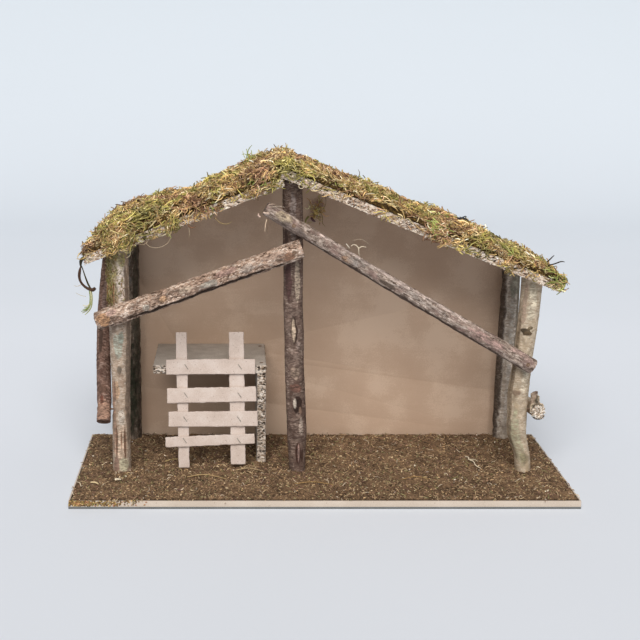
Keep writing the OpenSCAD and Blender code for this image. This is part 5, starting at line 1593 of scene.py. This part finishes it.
curls = [
    ([(29.5, -48, 274), (32, -50, 276), (35, -51, 275), (37.6, -51.5, 271.6), (37.4, -50, 267),
      (39, -47, 263)], 1.1, "dccfb8"),
    ([(37.6, -51.5, 272), (41, -52, 274.4), (45.5, -52, 273)], 1.0, "dccfb8"),
    ([(31, -47, 279), (36, -51, 282), (43, -52, 281), (48, -51, 276)], 0.5, "a99a86"),
    ([(24, -47, 276), (26, -49, 274), (28, -48, 271)], 1.2, "cfc6b6"),
    ([(-60, -46, 309), (-63.4, -50, 309.5), (-65.6, -51, 311)], 2.9, "d8c2b2"),
    ([(-69, -45, 305), (-71.5, -46, 307), (-70.5, -46, 309)], 2.0, "cdb3a4"),
    ([(-62, -48, 303), (-63.6, -50, 297), (-64, -50, 290)], 1.3, "c9b39b"),
    ([(-60.6, -48, 303), (-60.6, -49, 296), (-61.6, -49, 288)], 0.7, "7c6450"),
    ([(-57, -47, 316), (-50, -49, 317.6), (-43, -49, 316)], 0.9, "b3a393"),
    ([(-62, -44, 316), (-58, -47, 319.5), (-53, -47, 319)], 0.9, "c7b09e"),
]
joined("brace_fibres", fibres_of(curls), None, moss_leaf)
print("single fibres drawn")

# %% [markdown]
# ## The rail's torn end
# The rail at the right was broken off, not sawn: its front end is a fan of white splinters with a
# dark rim of bark under it, and the stump of a side shoot stands on it. The stump is a cylinder whose
# top is tilted and inset, and the splinters are the flat chips again, laid on the end.

# %% Stump and splinters of the rail
rail_low, rail_high = (np.array(p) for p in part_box("right_side_rail"))
rail_end = np.array(((rail_low[0] + rail_high[0]) / 2 - 0.004, rail_low[1], rail_high[2] - 0.0195))
deselect()
bpy.ops.mesh.primitive_cylinder_add(vertices=40, radius=4 * MM, depth=20 * MM,
                                    location=rail_end + (-0.0035, 0.008, 0.010))
stump = bpy.context.object
stump.name = "rail_stump"
bpy.ops.object.transform_apply(location=True, rotation=False, scale=False)
bpy.ops.object.mode_set(mode="EDIT")
bpy.ops.mesh.select_mode(type="FACE")
bpy.ops.mesh.select_all(action="DESELECT")
bpy.ops.object.mode_set(mode="OBJECT")
for face in stump.data.polygons:
    face.select = face.normal.z > 0.9
bpy.ops.object.mode_set(mode="EDIT")
bpy.ops.transform.rotate(value=math.radians(24), orient_axis="Y")
bpy.ops.mesh.inset(thickness=0.9 * MM)
bpy.ops.mesh.inset(thickness=1.2 * MM, depth=-0.6 * MM)
bpy.ops.mesh.select_all(action="SELECT")
bpy.ops.mesh.select_mode(type="VERT")
bpy.ops.mesh.quads_convert_to_tris()
bpy.ops.mesh.subdivide(number_cuts=3)
bpy.ops.object.mode_set(mode="OBJECT")
points = mesh_arrays(stump.data)[0]
push(stump, 0.7 * lumps(points, 4, 88) + 0.3 * weathered(points, 1.6, 89))
points = mesh_arrays(stump.data)[0]
keep_values(stump, "grain", points - points.mean(0))
keep_values(stump, "relief", lumps(points, 2, 90))
height = np.clip((points[:, 2] - points[:, 2].max()) / MM + 4, 0, 3) / 3
torn_top = np.tile(linear("6d5650")[:3], (len(points), 1))
keep_values(stump, "paint", np.column_stack([torn_top, height * 0.8]))
only(stump)
bpy.ops.object.shade_smooth_by_angle(angle=math.radians(50))
settle(stump, None, [peeled_bark])

rng = np.random.default_rng(87)
count = 260
turn, out = rng.uniform(0, 2 * math.pi, count), 7.4 * np.sqrt(rng.uniform(0, 1, count))
spots = rail_end / MM + np.stack([np.cos(turn) * out, rng.uniform(-1.6, 0.3, count), np.sin(turn) * out], 1)
forward = unit(np.array((0.1, -1, 0.15)) + rng.normal(0, 0.5, (count, 3)))
fanned = np.stack([np.cos(turn), rng.normal(0, 0.4, count), np.sin(turn)], 1)
frames = lying(forward, fanned + rng.normal(0, 0.5, (count, 3)))
sizes = spans(rng, count, (2.4, 6.0), (1.0, 2.0), (1.5, 3))
tints = palette(("f2ebe2", "ded0c0", "cbb8a3", "a8927d", "6a5a4c"), (30, 28, 20, 14, 8), count, rng, 0.12)
splinters = scatter("rail_splinters", flat_chips, spots * MM, frames, sizes, tints, rng)
settle(splinters, None, [chip_wood])
under = np.radians(np.linspace(195, 330, 9))
arc = rail_end / MM + np.stack([8.0 * np.cos(under), np.full(9, -0.6), 8.0 * np.sin(under)], 1)
rim = fibre(arc, (0.8, 1.6, 2, 2, 1.8, 2, 2.2, 1.6, 0.8), "4d4740")
joined("rail_rim", [rim], None, moss_leaf)
print("rail end at", np.round(rail_end / MM, 1))

# %% [markdown]
# ## Tufts on a post and on the panel
# A thin cushion of green moss still grows on the front of the left post, with brown bast fibres
# hanging beside it, and one dry tuft is stuck on the back panel right of the ridge post. They use
# the same strands as the roof, laid on a part of a cylinder and on a small disc.

# %% Post moss
rng = np.random.default_rng(61)
count = 260
turn = np.radians(np.where(rng.uniform(0, 1, count) < 0.65, rng.normal(-44, 15, count),
                            rng.uniform(-70, 35, count)))
post_mid, post_radius = np.array((-226.2, -19.0)), 12.2
heights = rng.uniform(205, 262, count)
outward = np.stack([np.sin(turn), -np.cos(turn), np.zeros(count)], 1)
off_axis = post_radius + rng.uniform(-0.3, 0.9, (count, 1))
spots = np.column_stack([post_mid + outward[:, :2] * off_axis, heights])
headings = np.array((0, 0, 1.0)) + rng.normal(0, 0.35, (count, 3))
tints = palette(("8f8850", "a39a5e", "7a7240", "bcae80", "8c6c4c"), (26, 22, 20, 16, 16), count, rng, 0.2)
cushion = scatter("post_moss_strands", strands[:5] + sprigs[:2], spots * MM, lying(outward, headings),
                  rng.uniform(0.3, 0.7, (count, 1)), tints, rng)
settle(cushion, "post_moss", [moss_leaf])

bast = []
for k in range(12):
    x, z = -237.5 + 0.75 * k + rng.uniform(-0.4, 0.4), rng.uniform(222, 236)
    y = -19 - math.sqrt(max(0.5, 12.4 ** 2 - (x + 226.2) ** 2))
    long = rng.uniform(12, 28)
    bast.append(fibre([(x, y, z), (x + rng.uniform(-1, 1), y - 0.8, z - long / 2),
                       (x + rng.uniform(-1.5, 2), y - 0.3, z - long)], (0.7, 0.8, 0.4),
                      ("a8886a", "8a6346", "6f4a33", "c2a483")[k % 4]))
joined("bast_fibres", bast, None, moss_leaf)

# %% Panel tuft
count = 64
middle = np.array((2.0, 111.8, 291.5))
away = rng.normal(0, 1, (count, 2)) * (4.8, 7.0)
depth = middle[1] - rng.uniform(0, 2.6, count) + 1.6
spots = np.column_stack([middle[0] + away[:, 0], depth, middle[2] + away[:, 1]])
headings = np.column_stack([away[:, 0] + rng.normal(0, 4, count), rng.normal(0, 1.5, count),
                            away[:, 1] + rng.normal(0, 5, count)])
tints = palette(("ecc486", "f4d8a0", "c29662", "cabe7a", "b08682", "faecc0"),
                (24, 20, 20, 16, 12, 6), count, rng)
frames = lying(np.tile((0, -1.0, 0), (count, 1)), headings + (0, 0, 0.01))
tuft = scatter("panel_tuft", strands[:6] + sprigs[:3], spots * MM, frames,
               rng.uniform(0.35, 0.75, (count, 1)), tints, rng)
settle(tuft, "panel_moss", [moss_leaf])
stems = [fibre([(9, 112, 307), (5, 110, 301), (2, 110, 295), (0, 112, 290)], (0.7, 0.9, 0.9, 0.8), "a08556"),
         fibre([(12, 113, 308), (13, 110, 300), (9, 110, 293)], (0.5, 0.6, 0.5), "8d7550"),
         fibre([(5, 112, 291), (9, 109, 284), (8, 110, 277), (12, 113, 272)], (0.8, 0.9, 0.8, 0.4), "94825a"),
         fibre([(-1, 110, 292), (1, 109, 288), (3.5, 110, 288)], (3.2, 4.4, 2.4), "c9b273"),
         fibre([(-8, 112, 284), (-11, 110, 281), (-12, 111, 277)], (2.0, 2.6, 1.2), "8c8b54"),
         fibre([(-5, 111, 283), (-3, 109.5, 280), (0, 111, 278)], (2.0, 3.0, 1.6), "6e5357")]
joined("panel_stems", stems, None, moss_leaf)

# %% [markdown]
# ## Chips and straws on the ground
# Larger bits lie loose on the mould: tan splinters, a few nearly white chips, short curved straws
# and, right of the middle, one pale straw that stands out. Some crumbs have spilled over the left
# end of the base's front edge.

# %% Splinters, straws and the spill
rng = np.random.default_rng(73)
count = 2600
spots, ways = sample(top_points, top_corners, count, rng, near_front)
tints = palette(("ad9474", "907660", "c9b08c", "735c4a", "969064", "e0d0b8", "86655c"),
                (26, 22, 18, 14, 8, 6, 6), count, rng)
frames = lying(unit(ways + rng.normal(0, 0.25, ways.shape)), rng.normal(0, 1, (count, 3)))
length, height = rng.uniform(0.25, 0.6, count), rng.uniform(0.45, 0.8, count)
splinters = scatter("ground_splinters", strands[:6], spots + ways * 0.7 * MM, frames,
                    np.column_stack([length, length, height]), tints, rng)
settle(splinters, None, [mould])

spill_count = 470
along = np.abs(rng.normal(0, 30, spill_count)) - 274.5
along = np.where(along > -190, rng.uniform(-274, -215, spill_count), along)
spots = np.column_stack([along, np.full(spill_count, -120.3), rng.uniform(3.5, 9.4, spill_count)])
frames = lying(np.tile((0, -1.0, 0), (spill_count, 1)), rng.normal(0, 1, (spill_count, 3)))
tints = palette(("5f4a33", "846846", "a98a58", "8f8148", "cdb07e", "b07a5a"),
                (24, 24, 18, 14, 8, 8), spill_count, rng)
spilled = scatter("spilled_crumbs", granules, spots * MM, frames,
                  rng.uniform(1.2, 2.6, (spill_count, 1)), tints, rng)
settle(spilled, None, [mould])

straws = [
    ([(175, 21, 12), (178, 16, 13.5), (176, 8, 13), (181, -2, 14), (180, -12, 13), (185, -22, 12.4)],
     1.3, "e6dcc6"),
    ([(176, 8, 13), (183, 6, 14), (186, 1, 13)], 1.0, "d9ccb0"),
    ([(-230, -61, 12.6), (-227, -61.4, 13.2), (-223.4, -61, 12.8)], 2.6, "efe3cb"),
    ([(-256, -70, 12.5), (-250, -72, 13), (-247, -76, 12.5)], 2.0, "dcc8a0"),
    ([(-150, -52, 12.5), (-132, -46, 14), (-118, -50, 13), (-105, -60, 12.5)], 0.8, "c5aa7c"),
    ([(-95, -30, 13), (-80, -24, 14.5), (-64, -34, 13)], 0.8, "c9b48c"),
    ([(-30, -75, 12.6), (-10, -70, 14), (12, -78, 12.6)], 0.8, "b3925f"),
    ([(90, -60, 12.6), (108, -52, 14), (120, -60, 12.6)], 0.7, "b3925f"),
    ([(-178, 2, 12.6), (-165, 8, 15), (-150, 0, 12.6)], 0.8, "c9b07a"),
]
joined("ground_straws", fibres_of(straws), None, chip_wood)

# %% Keep the sizes and finish
sizes = {"cad": [list(p) for p in cad_box], "visual": [list(p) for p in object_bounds()]}
